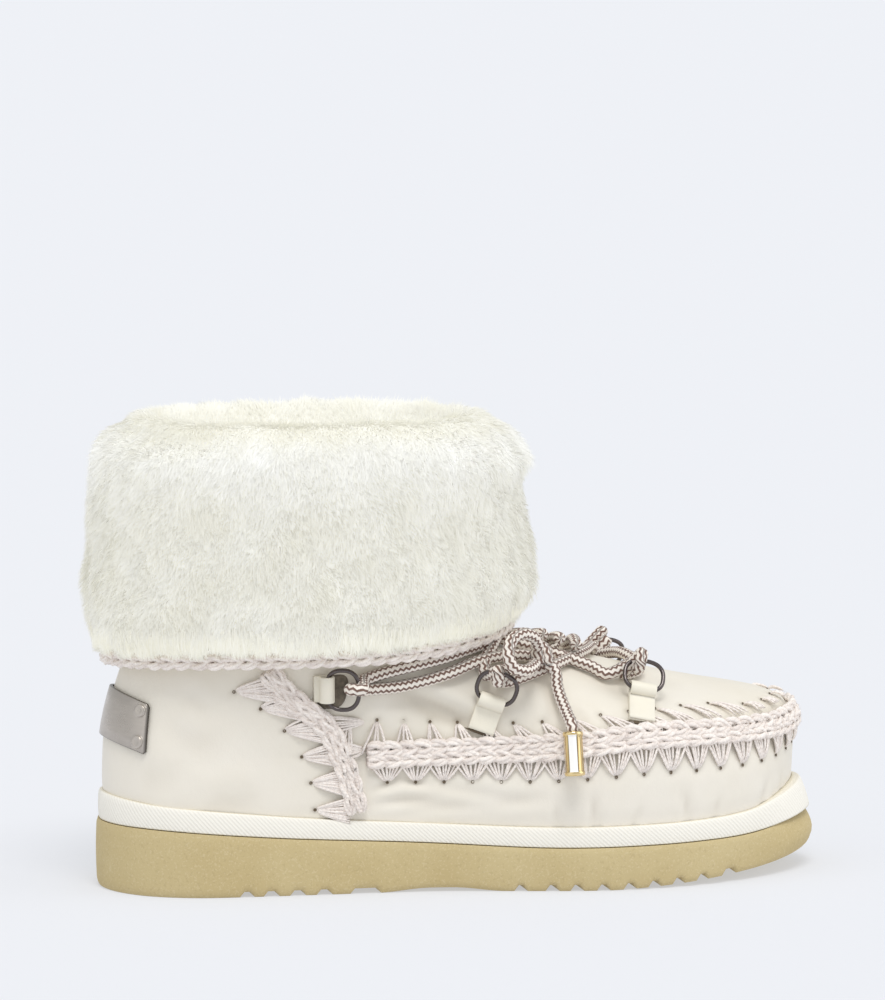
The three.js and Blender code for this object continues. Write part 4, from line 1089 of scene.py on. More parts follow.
def fur_point(turn, place):
    hem = hem_height(turn)
    height = fur_height(place)
    forward = 1 - np.abs(1 - np.mod(turn, 2.0))
    outside = 1 - ease(fur_crest - 9, fur_crest, place)
    fuller = front_fullness * ease(0.6, 0.95, forward) * np.exp(-((height - 0.75) / 0.09) ** 2)
    slimmer = heel_slimness * (1 - ease(0.05, 0.4, forward)) * np.exp(-((height - 0.92) / 0.06) ** 2)
    point = off_leg(turn, mix(hem, cuff_top, height), fur_out(place) + (fuller - slimmer) * outside)
    lump = 0.9 * soft_noise(point, 34, 11) + 0.5 * soft_noise(point, 15, 12)
    calm = ease(0, 10, place) * (1 - 0.7 * ease(fur_crest - 16, fur_crest - 4, place))
    return point, lump * calm


def fur_surface(turn, place):
    """Points of the fur's outside with the way out and the way down along it."""
    step_turn, step_place = 0.006, 1.2
    here, lump = fur_point(turn, place)
    round_ = fur_point(turn + step_turn, place)[0] - fur_point(turn - step_turn, place)[0]
    high = fur_point(turn, np.minimum(fur_end, place + step_place))[0]
    low = fur_point(turn, np.maximum(0, place - step_place))[0]
    out = unit(np.cross(round_, high - low))
    down = unit(low - high)
    return here + out * lump[..., None], out, down


def make_cuff_base():
    turns = np.linspace(0, 2, 170, endpoint=False)
    turn, place = np.meshgrid(turns, np.linspace(0, fur_end, 72))
    point, out, _ = fur_surface(turn, place)
    sunk = 3.6 * ease(-2, 12, place) + 1.5 * ease(fur_crest - 22, fur_crest - 6, place)
    base = point - out * sunk[..., None]
    hem = hem_height(turns)
    over_rim = rim_height + hide_clearance
    in_shaft = -upper_wall - hide_clearance
    back = [off_leg(turns, height, distance)
            for height, distance in ((mix(hem, cuff_top, 0.6), in_shaft), (over_rim, in_shaft),
                                     (over_rim, hide_clearance), (mix(hem, cuff_top, 0.3), hide_clearance),
                                     (hem + 0.6, hide_clearance))]
    rows = np.concatenate([base, back])
    # Painted shade: the hide under the hairs is as dark as their roots.
    make_grid("cuff_hide", rows, fur_wool, "shearling", "cuff", wrap_rows=True,
              shade=np.full(rows.size // 3, 0.3))


def make_fur():
    """Hairs of the cuff: bent blades that face out, leaning down and with the lie of soft locks."""
    hairs = fur_hairs
    for piece in range(fur_pieces):
        turn = rng.uniform(0, 2, hairs)
        place = rng.uniform(0, 1, hairs) ** 0.96 * (fur_end - 4)
        point, out, down = fur_surface(turn, place)
        side = np.cross(out, down)
        across = soft_noise(point, 21, 21) + 0.5 * soft_noise(point, 9, 22)
        curl = soft_noise(point, 15, 23) + 0.5 * soft_noise(point, 7, 24)
        chance = rng.normal(0, 1, (hairs, 3))
        crest = ease(fur_crest - 22, fur_crest - 6, place)
        lean = np.where(place > fur_crest, inner_lean, outer_lean) + crest_lean * crest
        lean = lean + 0.6 * curl + chance[:, 0]
        sweep = 0.8 * across + 1.2 * chance[:, 1]
        short = mix(0.62, 1.0, ease(0, 12, place))
        depth = rng.uniform(*hair_depth, hairs) * short + crest_depth * crest
        stand = (rng.uniform(*hair_stand, hairs) + 0.2 * curl) * short - crest_drop * crest
        drift = (down * lean[:, None] + side * sweep[:, None]) * short[:, None]
        root = point - out * depth[:, None]
        tip = point + out * stand[:, None] + drift
        bend = mix(root, tip, 0.5) + out * (0.14 * (depth + stand))[:, None] - drift * 0.16
        broad = unit(np.cross(tip - root, out))
        flat = unit(np.cross(broad, tip - root))
        angle = rng.normal(0, 0.45, hairs)[:, None]
        wide = (broad * np.cos(angle) + flat * np.sin(angle)) * rng.uniform(*hair_half_width, (hairs, 1))
        # Painted shade: the hairs are darker over the lower cuff, near the crest and along the hem, and
        # darker towards each root. across and the random term vary the wool's own tone.
        low = 1 - ease(0.5 * fur_crest, 0.84 * fur_crest, place)
        high = ease(fur_crest - 24, fur_crest - 8, place)
        hem = 1 - ease(4, 16, place)
        tone = 0.06 + 0.5 * low + 0.5 * high + 0.3 * hem + 0.05 * across + rng.normal(0, 0.04, hairs)
        shade = tone[:, None] + np.array([0.3, 0.3, 0.1, 0.1, 0.0])
        make_blades(f"cuff_fur_{piece}", (root, bend, tip), wide, out + 0.2 * down + 0.1 * chance,
                    fur_wool, "shearling", shade)


# Crochet: chains of stitches, each of two plump lobes, and fans of thread to the holes in the leather.
# Lines that the braids follow: their turns and their ups.
apron_line = ([apron_start_turn, 1, 2 - apron_start_turn], [1, 1, 1])


def ankle_line(side):
    return at_side[side](ankle_braid_rows[:, 0]), ankle_braid_rows[:, 1]


def braid_path(turns, ups, count):
    """Even places along a line of the skin."""
    fine = np.linspace(0, len(turns) - 1, 1600)
    steps = np.arange(len(turns))
    turn, up = curve_through(steps, turns)(fine), curve_through(steps, ups)(fine)
    reach = reach_along(upper_point(turn, up))
    spots = np.linspace(0, reach[-1], count)
    return np.interp(spots, reach, turn), np.interp(spots, reach, up), spots


# One lobe of a chain stitch. Columns: across as a share of the chain's half width, forward as a share of
# the pitch, height as a share of the yarn's own height.
lobe_rows = np.array([
    [0.05, -0.35, 0.15], [0.30, -0.12, 0.6], [0.62, 0.12, 0.95], [0.72, 0.42, 1.0], [0.58, 0.72, 0.95],
    [0.30, 1.0, 0.8], [0.06, 1.2, 0.45], [0.0, 1.38, 0.1],
])


def chain_tubes(place_at, length, half, radius, height, seed, pitch=stitch_pitch):
    """Paths and radii of the plies of one chain. place_at gives points from forward, across and height."""
    chance = np.random.default_rng(seed)
    count = int(round(length / pitch))
    pitch = length / count
    share = np.linspace(0, 1, 10)
    rows = share * (len(lobe_rows) - 1)
    places = np.arange(len(lobe_rows))
    across, forward, rise = (curve_through(places, lobe_rows[:, i])(rows) for i in range(3))
    thick = radius * mix(0.62, 1.0, np.sin(np.pi * np.clip(share * 1.04 - 0.02, 0, 1)) ** 0.6)
    spread = 0.5 * thick
    table = []
    for i in range(count):
        for side in (-1, 1):
            grow = chance.uniform(0.92, 1.08)
            slip = chance.normal(0, 0.05)
            along = (i + forward + slip + (0.06 if side > 0 else 0)) * pitch
            middle = across * side * half * grow
            up = height * rise * chance.uniform(0.92, 1.06)
            turn = chance.uniform(0, 2 * np.pi)
            for ply in range(plies):
                angle = turn + 2 * np.pi * ply / plies + side * share * ply_twist
                table.append([along + 0.2 * spread * np.cos(angle), middle + spread * np.cos(angle),
                              up + spread * np.sin(angle)])
    paths = place_at(*np.array(table).transpose(1, 0, 2))
    return list(paths), [thick * 0.6] * len(paths)


def skin_placer(turns, ups, first_across):
    """Places on the skin beside a line of it, from forward, across and height in millimetres."""
    turn, up, spots = braid_path(turns, ups, 400)
    line = upper_point(turn, up)
    sideways = unit(np.cross(unit(np.gradient(line, axis=0)), upper_outward(turn, up)))

    def place_at(along, across, height):
        along = np.clip(along, 0, spots[-1])
        side = np.stack([np.interp(along, spots, sideways[:, i]) for i in range(3)], -1)
        here_turn, here_up = np.interp(along, spots, turn), np.interp(along, spots, up)
        for _ in range(3):
            here_turn, here_up = step_along(here_turn, here_up, side, (first_across + across) / 3)
        return off_upper(here_turn, here_up, 0.5 + height)
    return place_at, spots[-1]


def add_tubes(name, paths, radii, sides, material, slot, replaced=None, shade=None, ups=(0, 0, 1)):
    """One object from many tubes of the same number of points."""
    points, faces, uv = tube_mesh(np.array(paths), np.array(radii), sides, ups)
    return make_mesh(name, points, faces, material, slot, replaced, uv, shade)


def stitch_shade(paths, strength):
    """Painted shade: darker at both ends of each stitch, where it dives under its neighbours; each tube also
    gets a random tone.
    """
    chance = np.random.default_rng(5)
    share = np.linspace(0, 1, len(paths[0]))
    dive = 0.75 * np.exp(-(share / 0.16) ** 2) + 0.6 * np.exp(-((1 - share) / 0.12) ** 2)
    values = strength * dive[None] + chance.uniform(0.0, 0.22, (len(paths), 1))
    return np.repeat(np.clip(values, 0, 1).ravel(), stitch_sides)


def make_chains(name, replaced, chains, strength=1.0):
    """One object from the plies of some chains, each as chain_tubes gives it."""
    paths = [path for chain in chains for path in chain[0]]
    radii = [radius for chain in chains for radius in chain[1]]
    add_tubes(name, paths, radii, stitch_sides, yarn, "yarn", replaced, stitch_shade(paths, strength))


def make_double_braid(name, replaced, line, width, radius, seed, pitch=stitch_pitch):
    """Two chains side by side along a line of the skin."""
    quarter = width / 4
    make_chains(name, replaced, [
        chain_tubes(*skin_placer(*line, shift), quarter * 0.95, radius, stitch_height, seed + row, pitch)
        for row, shift in enumerate((-quarter, quarter))])


def make_hem_braid():
    turns = np.linspace(0, 2, 801)
    drop = hem_braid_height / 2 + 2 * gap
    reach = reach_along(off_leg(turns, hem_height(turns) - drop, hem_braid_reach))

    def place_at(along, across, height):
        turn = np.interp(np.mod(along, reach[-1]), reach, turns)
        return off_leg(turn, hem_height(turn) - drop - across, hem_braid_reach - 1.2 + height)
    make_chains("hem_stitches", "hem_braid", [chain_tubes(place_at, reach[-1], 2.2, 1.42, 1.7, 51)], 1.5)


def fan(hole, landing, count, spread):
    """Threads from a hole in the leather to places along a braid's edge: turn, up and height for each."""
    share = np.linspace(0, 1, 7)
    middle = landing(0)
    threads = []
    for k in range(count):
        place = landing(spread * ((k + rng.uniform(-0.3, 0.3)) / (count - 1) - 0.5))
        open_out = share ** 0.74
        turn, up = (mix(hole[i], middle[i], share) + (place[i] - middle[i]) * open_out for i in (0, 1))
        arch = 0.9 * np.sin(np.pi * share) * rng.uniform(0.2, 1)
        threads.append([turn, up, 0.5 + 1.5 * share ** 2 + arch - 1.7 * np.exp(-(share / 0.12) ** 2)])
    return threads


def make_blades(name, path, wide, normals, material, slot, shade):
    """Thin bent hairs, each a quad and a triangle. path is their roots, bends and tips."""
    root, bend, tip = path
    points = np.stack([root - wide, root + wide, bend + 0.75 * wide, bend - 0.75 * wide, tip], 1)
    starts = np.arange(len(root))[:, None] * 5
    faces = [starts + np.array([0, 1, 2, 3]), starts + np.array([3, 2, 4])]
    make_mesh(name, points, faces, material, slot, shade=np.clip(shade, 0, 1),
              normals=np.repeat(unit(normals), 5, axis=0))


def make_loose_hairs(name, root, tip, bulge, out, wide, material, slot, shade):
    """Hairs that face out, with one width and one shade for each."""
    broad = unit(np.cross(tip - root, out)) * wide[:, None]
    bend = mix(root, tip, 0.5) + bulge
    normals = out + 0.1 * rng.normal(0, 1, out.shape)
    make_blades(name, (root, bend, tip), broad, normals, material, slot, np.repeat(shade, 5))


def make_fuzz(name, line, width, count):
    """Loose fibres that stand off a chain of yarn."""
    place_at, length = skin_placer(*line, 0)
    count = count
    along, across = rng.uniform(0, length, count), rng.uniform(-width / 2, width / 2, count)
    level = np.full(count, 2.0)
    root = place_at(along, across, level)
    out = unit(place_at(along, across, level + 1) - root)
    forward = unit(place_at(along + 0.5, across, level) - root + 1e-6)
    side = np.cross(out, forward)
    throw = rng.normal(0, 1, (count, 3)) * np.array([0.5, 1.3, 1.3])
    tip = root + out * (0.5 + np.abs(throw[:, :1])) + forward * throw[:, 1:2] + side * throw[:, 2:]
    bulge = out * 0.3 + side * rng.normal(0, 0.3, (count, 1))
    make_loose_hairs(name, root, tip, bulge, out, rng.uniform(0.03, 0.06, count), yarn, "yarn",
                     rng.uniform(0, 0.15, count))


def make_wisps():
    """Long hairs of the cuff that fall over the top of the hem's chain."""
    count = wisps
    turn, place = rng.uniform(0, 2, count), 2 + 12 * rng.uniform(0, 1, count) ** 1.6
    point, out, _ = fur_surface(turn, place)
    thick = 0.5 + 0.5 * soft_noise(point, 9, 61)
    drop = mix(-0.6, 2.8, np.clip(thick, 0, 1)) * rng.uniform(0.4, 1.1, count)
    tip = off_leg(turn + rng.normal(0, 0.006, count), hem_height(turn) - drop, rng.uniform(10.4, 13.4, count))
    # Painted shade: the wisps are darkened by shade 0.6 to 0.85.
    make_loose_hairs("cuff_wisps", point - out * 1.5, tip, out * 0.8, unit(out * np.array([1, 1, 0.3])),
                     rng.uniform(0.11, 0.2, count), fur_wool, "shearling", rng.uniform(0.6, 0.85, count))


def make_fans():
    threads = []
    for turn in lower_holes:
        threads += fan((turn, lower_hole_up), lambda s, t=turn: (t + s, 0.93), 8, 0.033)
    for turn, up in zip(upper_holes, upper_hole_ups(upper_holes)):
        threads += fan((turn, up), lambda s, t=turn: (t + s, 1.03), 4, 0.02)
    turn_at = curve_through(ankle_braid_rows[::-1, 1], ankle_braid_rows[::-1, 0])
    for side in at_side.values():
        for turn, up in ankle_hole_rows:
            reach = 0.26 if up > 0.9 else 0.34
            threads += fan((side(turn), up), lambda s, u=up: (side(turn_at(u + s) - 0.006), u + s), 11, reach)
        for turn, up in ((0.394, 1.328), (0.398, 1.063)):
            threads += fan((side(turn), up), lambda s, u=up: (side(turn_at(u + s) + 0.008), u + s), 6, 0.14)
    paths = off_upper(*np.array(threads).transpose(1, 0, 2))
    radii = np.full(paths.shape[:2], thread_radius)
    add_tubes("fan_threads", paths, radii, thread_sides, yarn, "yarn",
              shade=np.full(radii.size * thread_sides, 0.1))


def make_holes():
    """Painted shade of the small holes where the threads enter the leather: a dark, shallow cone at each."""
    corners = 10
    points, faces = [], []
    for number, (turn, up) in enumerate(hole_places()):
        middle = off_upper(turn, up, 0.06)
        out = upper_outward(turn, up)
        side = unit(np.cross(out, [0, 0, 1]))
        points += [circle(middle, hole_radius, side, np.cross(side, out), corners), middle[None] - 0.5 * out]
        start = number * (corners + 1)
        faces += [[start + k, start + (k + 1) % corners, start + corners] for k in range(corners)]
    make_mesh("thread_holes", np.concatenate(points), np.array(faces), hole_shade, "yarn")


# Tabs and rings. Columns: start turn, start up, turn and up of the fold.
tab_rows = {
    "ankle": (0.341, 1.66, 0.35, 1.66),
    "middle": (0.504, 1.18, 0.537, 1.45),
    "front": (0.652, 1.08, 0.716, 1.31),
}


def tab_frame(name, side):
    """Origin, forward, out, across and length of a tab, as in the part."""
    start_turn, start_up, end_turn, end_up = tab_rows[name]
    at = at_side[side]
    start = upper_point(at(start_turn), start_up)
    end = upper_point(at(end_turn), end_up)
    middle = at((start_turn + end_turn) / 2), (start_up + end_up) / 2
    forward = unit(end - start)
    across = unit(np.cross(forward, upper_outward(*middle)))
    length = np.linalg.norm(end - start)
    origin = off_upper(*middle, 2 * gap) - forward * length / 2
    return origin, forward, np.cross(across, forward), across, length


def ring_frame(name, side):
    """Centre, the way to the far limb, across and out of a ring."""
    origin, forward, out, across, length = tab_frame(name, side)
    eye = origin + forward * length + out * (eye_radius + eye_wall)
    lean = forward * math.cos(ring_tilt) + out * math.sin(ring_tilt)
    normal = unit(np.cross(across, lean))
    if normal @ out < 0:
        normal = -normal
    return eye + lean * (ring_half_length - ring_shift), lean, across, normal


def make_tab(name, side):
    """Strip of leather that runs along the skin, round the ring's eye and back under itself."""
    origin, forward, out, across, length = tab_frame(name, side)
    fold = eye_radius + eye_wall
    half = tab_layer / 2
    loop = fold - half
    path = [[x, half] for x in np.linspace(0, length, 8)[:-1]]
    path += [[length + loop * math.cos(a), fold + loop * math.sin(a)]
             for a in np.linspace(-np.pi / 2, np.pi * 1.12, 26)]
    last = path[-1]
    path += [[mix(last[0], 0, s), mix(last[1], tab_layer * 1.56, ease(0, 0.35, s))]
             for s in np.linspace(0, 1, 9)[1:]]
    path = np.array(path)
    tangent = unit(np.gradient(path, axis=0))
    normal = np.stack([-tangent[:, 1], tangent[:, 0]], -1)
    width = tab_width / 2
    near_edge, edge = width - 0.3, width - 0.05
    section = [[-near_edge, -half], [0, -half], [near_edge, -half], [edge, -half * 0.6], [width, 0],
               [edge, half * 0.6], [near_edge, half], [0, half], [-near_edge, half], [-edge, half * 0.6],
               [-width, 0], [-edge, -half * 0.6]]
    rows = [[origin + forward * place[0] + out * place[1] + across * sideways
             for place, sideways in ((spot + n * height, sideways) for sideways, height in section)]
            for spot, n in zip(path, normal)]
    make_grid(f"tab_strip_{name}_{side}", rows, tab_leather, "leather", f"tab_{name}_{side}", capped=True,
              shade=np.full(len(path) * len(section), 0.04))


def make_ring(name, side):
    centre, lean, across, normal = ring_frame(name, side)
    x, y = superellipse(np.linspace(0, 2 * np.pi, 56, endpoint=False), 2 / ring_shape)
    line = centre + (ring_half_length * x)[:, None] * lean + (ring_half_width * y)[:, None] * across
    tangent = unit(np.roll(line, -1, 0) - np.roll(line, 1, 0))
    wire = circle(line[:, None], ring_wire, np.cross(tangent, normal)[:, None], normal, 10)
    make_grid(f"ring_wire_{name}_{side}", wire, gunmetal, "gunmetal", f"ring_{name}_{side}", wrap_rows=True)


# Dark patch on the leather behind the ankle ring: turn and up of its middle, half width and half height.
patch_place = (0.357, 1.62)
patch_half_width = 5.2
patch_half_height = 6.4


def make_patch(side):
    at = at_side[side]
    turn, up = patch_place
    middle = upper_point(at(turn), up)
    forward = unit(upper_point(at(turn + 0.01), up) - middle)
    rise = unit(upper_point(at(turn), up + 0.01) - middle)
    x, z = superellipse(np.linspace(0, 2 * np.pi, 40, endpoint=False), 0.7)
    rings = []
    for share, height in ((1.0, 0.05), (0.98, 0.45), (0.9, 0.6), (0.6, 0.6), (0.3, 0.6), (0.02, 0.6)):
        place = step_along(np.full(40, at(turn)), np.full(40, up), forward, share * patch_half_width * x)
        place = step_along(*place, rise, share * patch_half_height * z)
        rings.append(off_upper(*place, height))
    make_grid(f"ring_patch_{side}", rings, dark_patch, "leather")


def make_slit(name, side):
    """Painted shadow of the cut in the leather that a tab comes out of: a thin dark line with a raised lip.
    """
    origin, forward, out, across, _ = tab_frame(name, side)
    share = np.linspace(-1, 1, 17)
    line = origin[None] - forward * 0.5 + across * (share[:, None] * (tab_width / 2 + 1.2)) - out * 0.35
    radii = 0.5 * np.sqrt(np.maximum(0.04, 1 - share ** 2))
    add_tubes(f"tab_slit_{name}_{side}", [line], [radii], 8, hole_shade, "leather", ups=out)


# Rivet of the heel plate. Columns: share of its radius, height.
rivet_rows = [
    (1.22, -0.3), (1.22, -0.02), (1.12, 0.02), (1.06, -0.1), (1.0, -0.1), (1.0, 0.3), (0.94, 0.52),
    (0.8, 0.62), (0.55, 0.68), (0.45, 0.6), (0.25, 0.6), (0.0, 0.62),
]


def plate_point(round_, height, lift_off):
    """Point off the plate's place on the heel, from the way round it, the height on it and the way out."""
    steps = 6
    turn, up = np.zeros_like(round_), np.full_like(round_, plate_level)
    for _ in range(steps):
        ahead = unit(upper_point(turn + 0.01, up) - upper_point(turn - 0.01, up))
        turn, up = step_along(turn, up, ahead, round_ / steps)
    rise = height - plate_droop * (round_ / plate_half_arc) ** 2
    turn, up = step_along(turn, up, np.array([0.0, 0.0, 1.0]), rise)
    return off_upper(turn, up, lift_off)


def make_heel_plate():
    low = 2 * gap
    high = low + plate_thickness
    half = plate_height / 2
    bevel = plate_bevel
    corner = plate_corner
    arcs = np.linspace(-plate_half_arc, plate_half_arc, 61)
    edge = [(bevel * 0.2, low), (0, low + 0.4), (0, high - bevel), (bevel * 0.35, high - bevel * 0.3),
            (bevel, high)]
    section = [(-1, *place) for place in edge] + [(-0.5, 0, high), (0, 0, high), (0.5, 0, high)]
    section += [(1, *place) for place in edge[::-1]] + [(0, 0, low)]
    sideways, insets, levels = (np.array(values)[None] for values in zip(*section))
    near = np.maximum(0, np.abs(arcs) - (plate_half_arc - corner))[:, None] / corner
    reach = half - corner * (1 - np.sqrt(np.maximum(0, 1 - near ** 2)))
    levels = np.where(levels > low + 0.5, levels - bevel * ease(0.86, 1, near), levels)
    heights = sideways * (reach - insets)
    rows = plate_point(arcs[:, None] + 0 * insets, heights, levels)
    from_edge = np.minimum(plate_half_arc - np.abs(arcs)[:, None], half - np.abs(heights))
    # Painted shade: a dark line along the plate's edges.
    obj = make_grid("heel_plate_sheet", rows, pewter, "pewter", "heel_plate", capped=True,
                    shade=0.85 * np.exp(-(from_edge / 0.35) ** 2))
    obj.data.set_sharp_from_angle(angle=metal_edge_angle)
    from_corner = rivet_radius + plate_thickness
    for number, (side, level) in enumerate(((-1, -1), (-1, 1), (1, -1), (1, 1))):
        arc, height = np.array(side * (plate_half_arc - from_corner)), np.array(level * (half - from_corner))
        middle = plate_point(arc, height, high)
        out = unit(plate_point(arc, height, high + 1) - middle)
        across = unit(np.cross(out, [0, 0, 1]))
        rings = [circle(middle + out * (h * rivet_height / 0.7), rivet_radius * r, across,
                        np.cross(across, out), 24) for r, h in rivet_rows]
        make_grid(f"heel_rivet_{number}", rings, pewter, "pewter")


# Lace. Places are turn and up on the skin; the loose runs also have their height above it.
lace_bar_rows = np.array([[0.77, 1.47], [0.82, 1.47], [0.9, 1.51], [1, 1.55], [1.1, 1.54], [1.18, 1.51],
                          [1.23, 1.47]])
under_cuff_rows = np.array([[0.66, 1.925], [0.78, 1.972], [0.9, 1.99], [1, 1.99], [1.1, 1.99], [1.22, 1.972],
                            [1.34, 1.925]])
outer_front_rows = np.array([[0.737, 1.49], [0.745, 1.57], [0.745, 1.68], [0.735, 1.8], [0.68, 1.925]])
inner_front_rows = np.array([[1.25, 1.49], [1.16, 1.58], [1.02, 1.66], [0.88, 1.68], [0.76, 1.67],
                             [0.655, 1.625], [0.573, 1.59]])
outer_middle_rows = np.array([[0.56, 1.67], [0.575, 1.77], [0.62, 1.88], [0.68, 1.935]])
inner_middle_front_rows = np.array([[1.42, 1.6], [1.38, 1.78], [1.32, 1.93]])
inner_middle_back_rows = np.array([[1.44, 1.67], [1.425, 1.77], [1.38, 1.88], [1.32, 1.935]])
outer_ankle_high_rows = np.array([[0.382, 1.74], [0.46, 1.84], [0.51, 1.865], [0.56, 1.89], [0.61, 1.91],
                                  [0.68, 1.93]])
inner_ankle_high_rows = outer_ankle_high_rows * [-1, 1] + [2, 0]
outer_ankle_low_rows = np.array([[0.383, 1.64], [0.43, 1.65], [0.5, 1.72], [0.57, 1.79], [0.63, 1.78],
                                 [0.68, 1.72]])
inner_ankle_low_rows = np.array([[1.617, 1.64], [1.57, 1.65], [1.51, 1.71], [1.46, 1.78], [1.42, 1.85],
                                 [1.37, 1.9], [1.32, 1.93]])
knot_place = (0.645, 1.655, 8.6)

# Bow loops and loose ends. The first is in millimetres from the knot's middle, the others turn, up, lift.
outer_loop_points = np.array([
    [-1.8, -3.7, 2.6], [-4.5, -7.6, 7.4], [-9.5, -11.2, 9.4], [-14.3, -14.5, 7.4], [-16, -16.5, 2.5],
    [-14, -16, -2.2], [-9.5, -13.5, -3.8], [-6, -9.5, -3.4], [-3.2, -4.5, -2.2],
])
inner_loop_rows = np.array([
    [0.72, 1.77, 9.8], [0.8, 1.84, 6.4], [0.9, 1.88, 3.4], [1, 1.885, 2.9], [1.14, 1.86, 3],
    [1.24, 1.82, 3.2], [1.3, 1.77, 3.6], [1.28, 1.71, 3.6], [1.2, 1.73, 3.2], [1.1, 1.79, 2.9],
    [1, 1.825, 2.9], [0.9, 1.815, 3.4], [0.81, 1.77, 7], [0.735, 1.71, 9.8],
])
outer_end_rows = np.array([[0.642, 1.545, 5.6], [0.626, 1.46, 3.4], [0.61, 1.35, 3.4], [0.597, 1.23, 5.2],
                           [0.588, 1.13, 9]])
inner_end_rows = np.array([
    [0.745, 1.65, 8.8], [0.82, 1.71, 7.6], [0.9, 1.74, 4.4], [1, 1.74, 2.9], [1.12, 1.68, 3],
    [1.24, 1.6, 3.2], [1.33, 1.48, 3.4], [1.38, 1.34, 3.6], [1.4, 1.22, 5.4], [1.41, 1.13, 9],
])


def strand(rows):
    return off_upper(*rows.T, lace_radius + 2.7 * gap)


def lifted(rows):
    return off_upper(*np.transpose(rows))


def hook(name, side, under_end, over_start):
    """Turn of the lace round a ring's far limb: in underneath it, up inside the ring and back out over it."""
    centre, lean, across, normal = ring_frame(name, side)
    limb = centre + ring_half_length * lean
    reach = lace_radius + ring_wire + 0.35
    shift = np.clip([(under_end - limb) @ across * 0.35, (over_start - limb) @ across * 0.35], -2.4, 2.4)
    turns = np.radians([-62, -100, -140, -180, -220, -260, -298])
    sideways = np.linspace(shift[0], shift[1], len(turns))
    return np.array([limb + reach * (math.cos(t) * lean + math.sin(t) * normal) + s * across
                     for t, s in zip(turns, sideways)])


def lace_tube(name, points, replaced=None, steps_per_mm=0.9):
    steps = int(max(16, path_length(points) * steps_per_mm))
    path = smooth_path(points, steps)
    obj = add_tubes(name, [path], [np.full(steps, lace_radius)], lace_sides, lace_yarn, "cord", replaced,
                    ups=(0.35, -0.2, 0.93))
    return obj, path


def make_lace_runs():
    front = strand(outer_front_rows)[::-1]
    bar = strand(lace_bar_rows)
    back = strand(inner_front_rows)
    middle = strand(outer_middle_rows)
    first = np.concatenate([front, hook("front", "outer", front[-1], bar[0]), bar])
    second = np.concatenate([bar[-2:-1], hook("front", "inner", bar[-1], back[0]), back])
    third = np.concatenate([hook("middle", "outer", back[-1], middle[0]), middle])
    lace_tube("lace_front_run", np.concatenate([first, second[1:], third]), "lace_bar", hook_steps_per_mm)
    runs = [("ankle", "outer", outer_ankle_low_rows, outer_ankle_high_rows),
            ("ankle", "inner", inner_ankle_low_rows, inner_ankle_high_rows),
            ("middle", "inner", inner_middle_front_rows, inner_middle_back_rows)]
    for ring, side, low_rows, high_rows in runs:
        low, high = strand(low_rows)[::-1], strand(high_rows)
        points = np.concatenate([low, hook(ring, side, low[-1], high[0]), high])
        lace_tube(f"lace_{ring}_{side}", points, steps_per_mm=hook_steps_per_mm)
    lace_tube("lace_under_cuff", strand(under_cuff_rows), "lace_crossings")


def make_knot():
    """Wraps of the bow's knot round the crossing cords."""
    middle = lifted(knot_place)
    out = upper_outward(*knot_place[:2])
    forward = unit(np.cross(out, [0.25, 0, 1]))
    rise = np.cross(forward, out)
    angle = np.linspace(0, 2 * np.pi, 26)
    c, s = np.cos(angle)[:, None], np.sin(angle)[:, None]
    paths = []
    for tilt, shift, wide, deep in ((0.35, -1.2, 3.36, 2.4), (0.15, 1.6, 3.2, 2.24), (-0.9, 0.2, 2.88, 1.76)):
        axis_a = math.cos(tilt) * rise + math.sin(tilt) * forward
        axis_b = math.cos(tilt) * forward - math.sin(tilt) * rise
        paths.append(middle + wide * c * axis_a + deep * s * out + (shift + 0.5 * s) * axis_b)
    radii = np.full((3, len(angle)), lace_radius * 0.96)
    return add_tubes("lace_knot_wraps", paths, radii, 18, lace_yarn, "cord", "lace_knot", ups=out)


# Section of a barrel from its mouth. Columns: distance along it, share of its radius.
barrel_rows = [
    (0.2, 0.62), (0.05, 0.78), (0.0, 0.88), (0.15, 0.96), (0.6, 1.0), (1.5, 1.0), (1.7, 0.95), (2.2, 0.93),
    (8.0, 0.93), (13.8, 0.93), (14.3, 0.95), (14.5, 1.0), (15.4, 1.0), (15.85, 0.96), (16.0, 0.88),
    (15.95, 0.78), (15.6, 0.7), (15.3, 0.66), (15.3, 0.3), (15.3, 0.0),
]


def barrel_frame(rows):
    points = lifted(rows)
    heading = unit(mix(unit(points[-1] - points[-2]), np.array([0.0, 0.0, -1.0]), 0.8))
    return points[-1], heading


def make_barrel(name, rows, replaced):
    """Metal end with a rolled mouth, a raised band at each end and a slotted side."""
    end, heading = barrel_frame(rows)
    side = unit(np.cross(heading, [0.3, -1, 0.1]))
    rings = [circle(end + heading * (lace_radius + x), barrel_radius * r, side, np.cross(side, heading), 40)
             for x, r in barrel_rows]
    level = np.clip([x / barrel_length for x, r in barrel_rows], 0, 1)
    uv = np.stack(np.meshgrid(np.arange(40) / 40, level), -1)
    obj = make_grid(name, rings, gold, "gold", replaced, uv=uv)
    obj.data.set_sharp_from_angle(angle=metal_edge_angle)
    return obj


def make_cords():
    knot = make_knot()
    middle = lifted(knot_place)
    for side, points in (("outer", outer_loop_points + middle), ("inner", lifted(inner_loop_rows))):
        loop, path = lace_tube(f"bow_loop_{side}", points, f"lace_loop_{side}")
        declare_cord(loop, path)
    for side, rows in (("outer", outer_end_rows), ("inner", inner_end_rows)):
        barrel = make_barrel(f"lace_barrel_{side}", rows, f"lace_tip_{side}")
        end, heading = barrel_frame(rows)
        points = np.concatenate([lifted(rows), [end + heading * (lace_radius + 1.0)]])
        if side == "outer":
            points = np.concatenate([[mix(middle, points[0], 0.35)], points])
        cord, path = lace_tube(f"lace_end_{side}_cord", points, f"lace_end_{side}")
        declare_cord(cord, path)


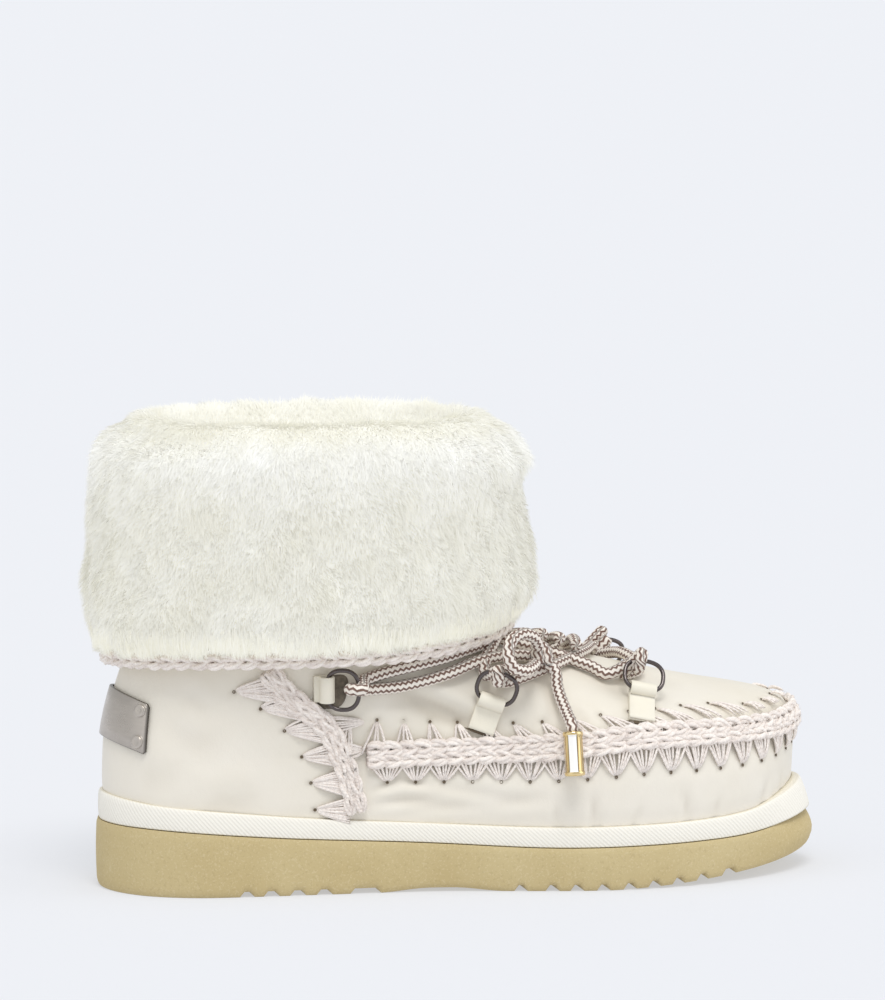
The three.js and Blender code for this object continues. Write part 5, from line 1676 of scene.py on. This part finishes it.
def declare_cord(obj, path):
    real = placed(path)
    path_length(real)


# Ground and light. Columns of the lights: turn and rise of their place in degrees, power, size in degrees.
floor_half = 40.0
world_strength = 0.72
light_rows = [("key", -3, 62, 1.3, 26), ("toe_fill", 70, 22, 0.5, 50), ("heel_fill", -66, 28, 0.2, 60)]


def make_studio():
    world = bpy.data.worlds.new("studio")
    bpy.context.scene.world = world
    world.use_nodes = True
    background = world.node_tree.nodes["Background"].inputs
    background["Color"].default_value = srgb(244, 246, 248)
    background["Strength"].default_value = world_strength
    bpy.context.scene.view_settings.view_transform = "Standard"

    floor_mesh = bpy.data.meshes.new("floor")
    corners = [(-floor_half, -floor_half, 0), (floor_half, -floor_half, 0), (floor_half, floor_half, 0),
               (-floor_half, floor_half, 0)]
    floor_mesh.from_pydata(corners, [], [(0, 1, 2, 3)])
    n = Nodes("floor", 1.0, Specular_IOR_Level=0.0, Emission_Color=srgb(238, 240, 245), Emission_Strength=0.5)
    n.color(srgb(168, 169, 172))
    floor_mesh.materials.append(n.material)
    link(bpy.data.objects.new("floor", floor_mesh))

    for name, turn, rise, power, size in light_rows:
        data = bpy.data.lights.new(name, "SUN")
        data.energy = power
        data.angle = math.radians(size)
        light = link(bpy.data.objects.new(name, data))
        way = direction_at(math.radians(turn), math.radians(rise))
        light.rotation_euler = way.to_track_quat("Z", "Y").to_euler()


make_camera()
make_cords()
make_lace_runs()
make_outsole()
make_band()
make_insole()
make_upper()
make_shaft_wool()
make_cuff_base()
make_fur()
make_hem_braid()
make_double_braid("apron_stitches", "apron_braid", apron_line, braid_width, 1.5, 31)
for side_name in at_side:
    make_double_braid(f"ankle_stitches_{side_name}", f"ankle_braid_{side_name}", ankle_line(side_name),
                      ankle_braid_width, 1.3, 41, 6.4)
make_fans()
make_fuzz("apron_fuzz", apron_line, braid_width, apron_fuzz)
for side_name in at_side:
    make_fuzz(f"ankle_fuzz_{side_name}", ankle_line(side_name), ankle_braid_width, ankle_fuzz)
make_wisps()
make_holes()
for tab_name in tab_rows:
    for side_name in at_side:
        make_tab(tab_name, side_name)
        make_ring(tab_name, side_name)
        if tab_name != "ankle":
            make_slit(tab_name, side_name)
for side_name in at_side:
    make_patch(side_name)
make_heel_plate()
make_studio()
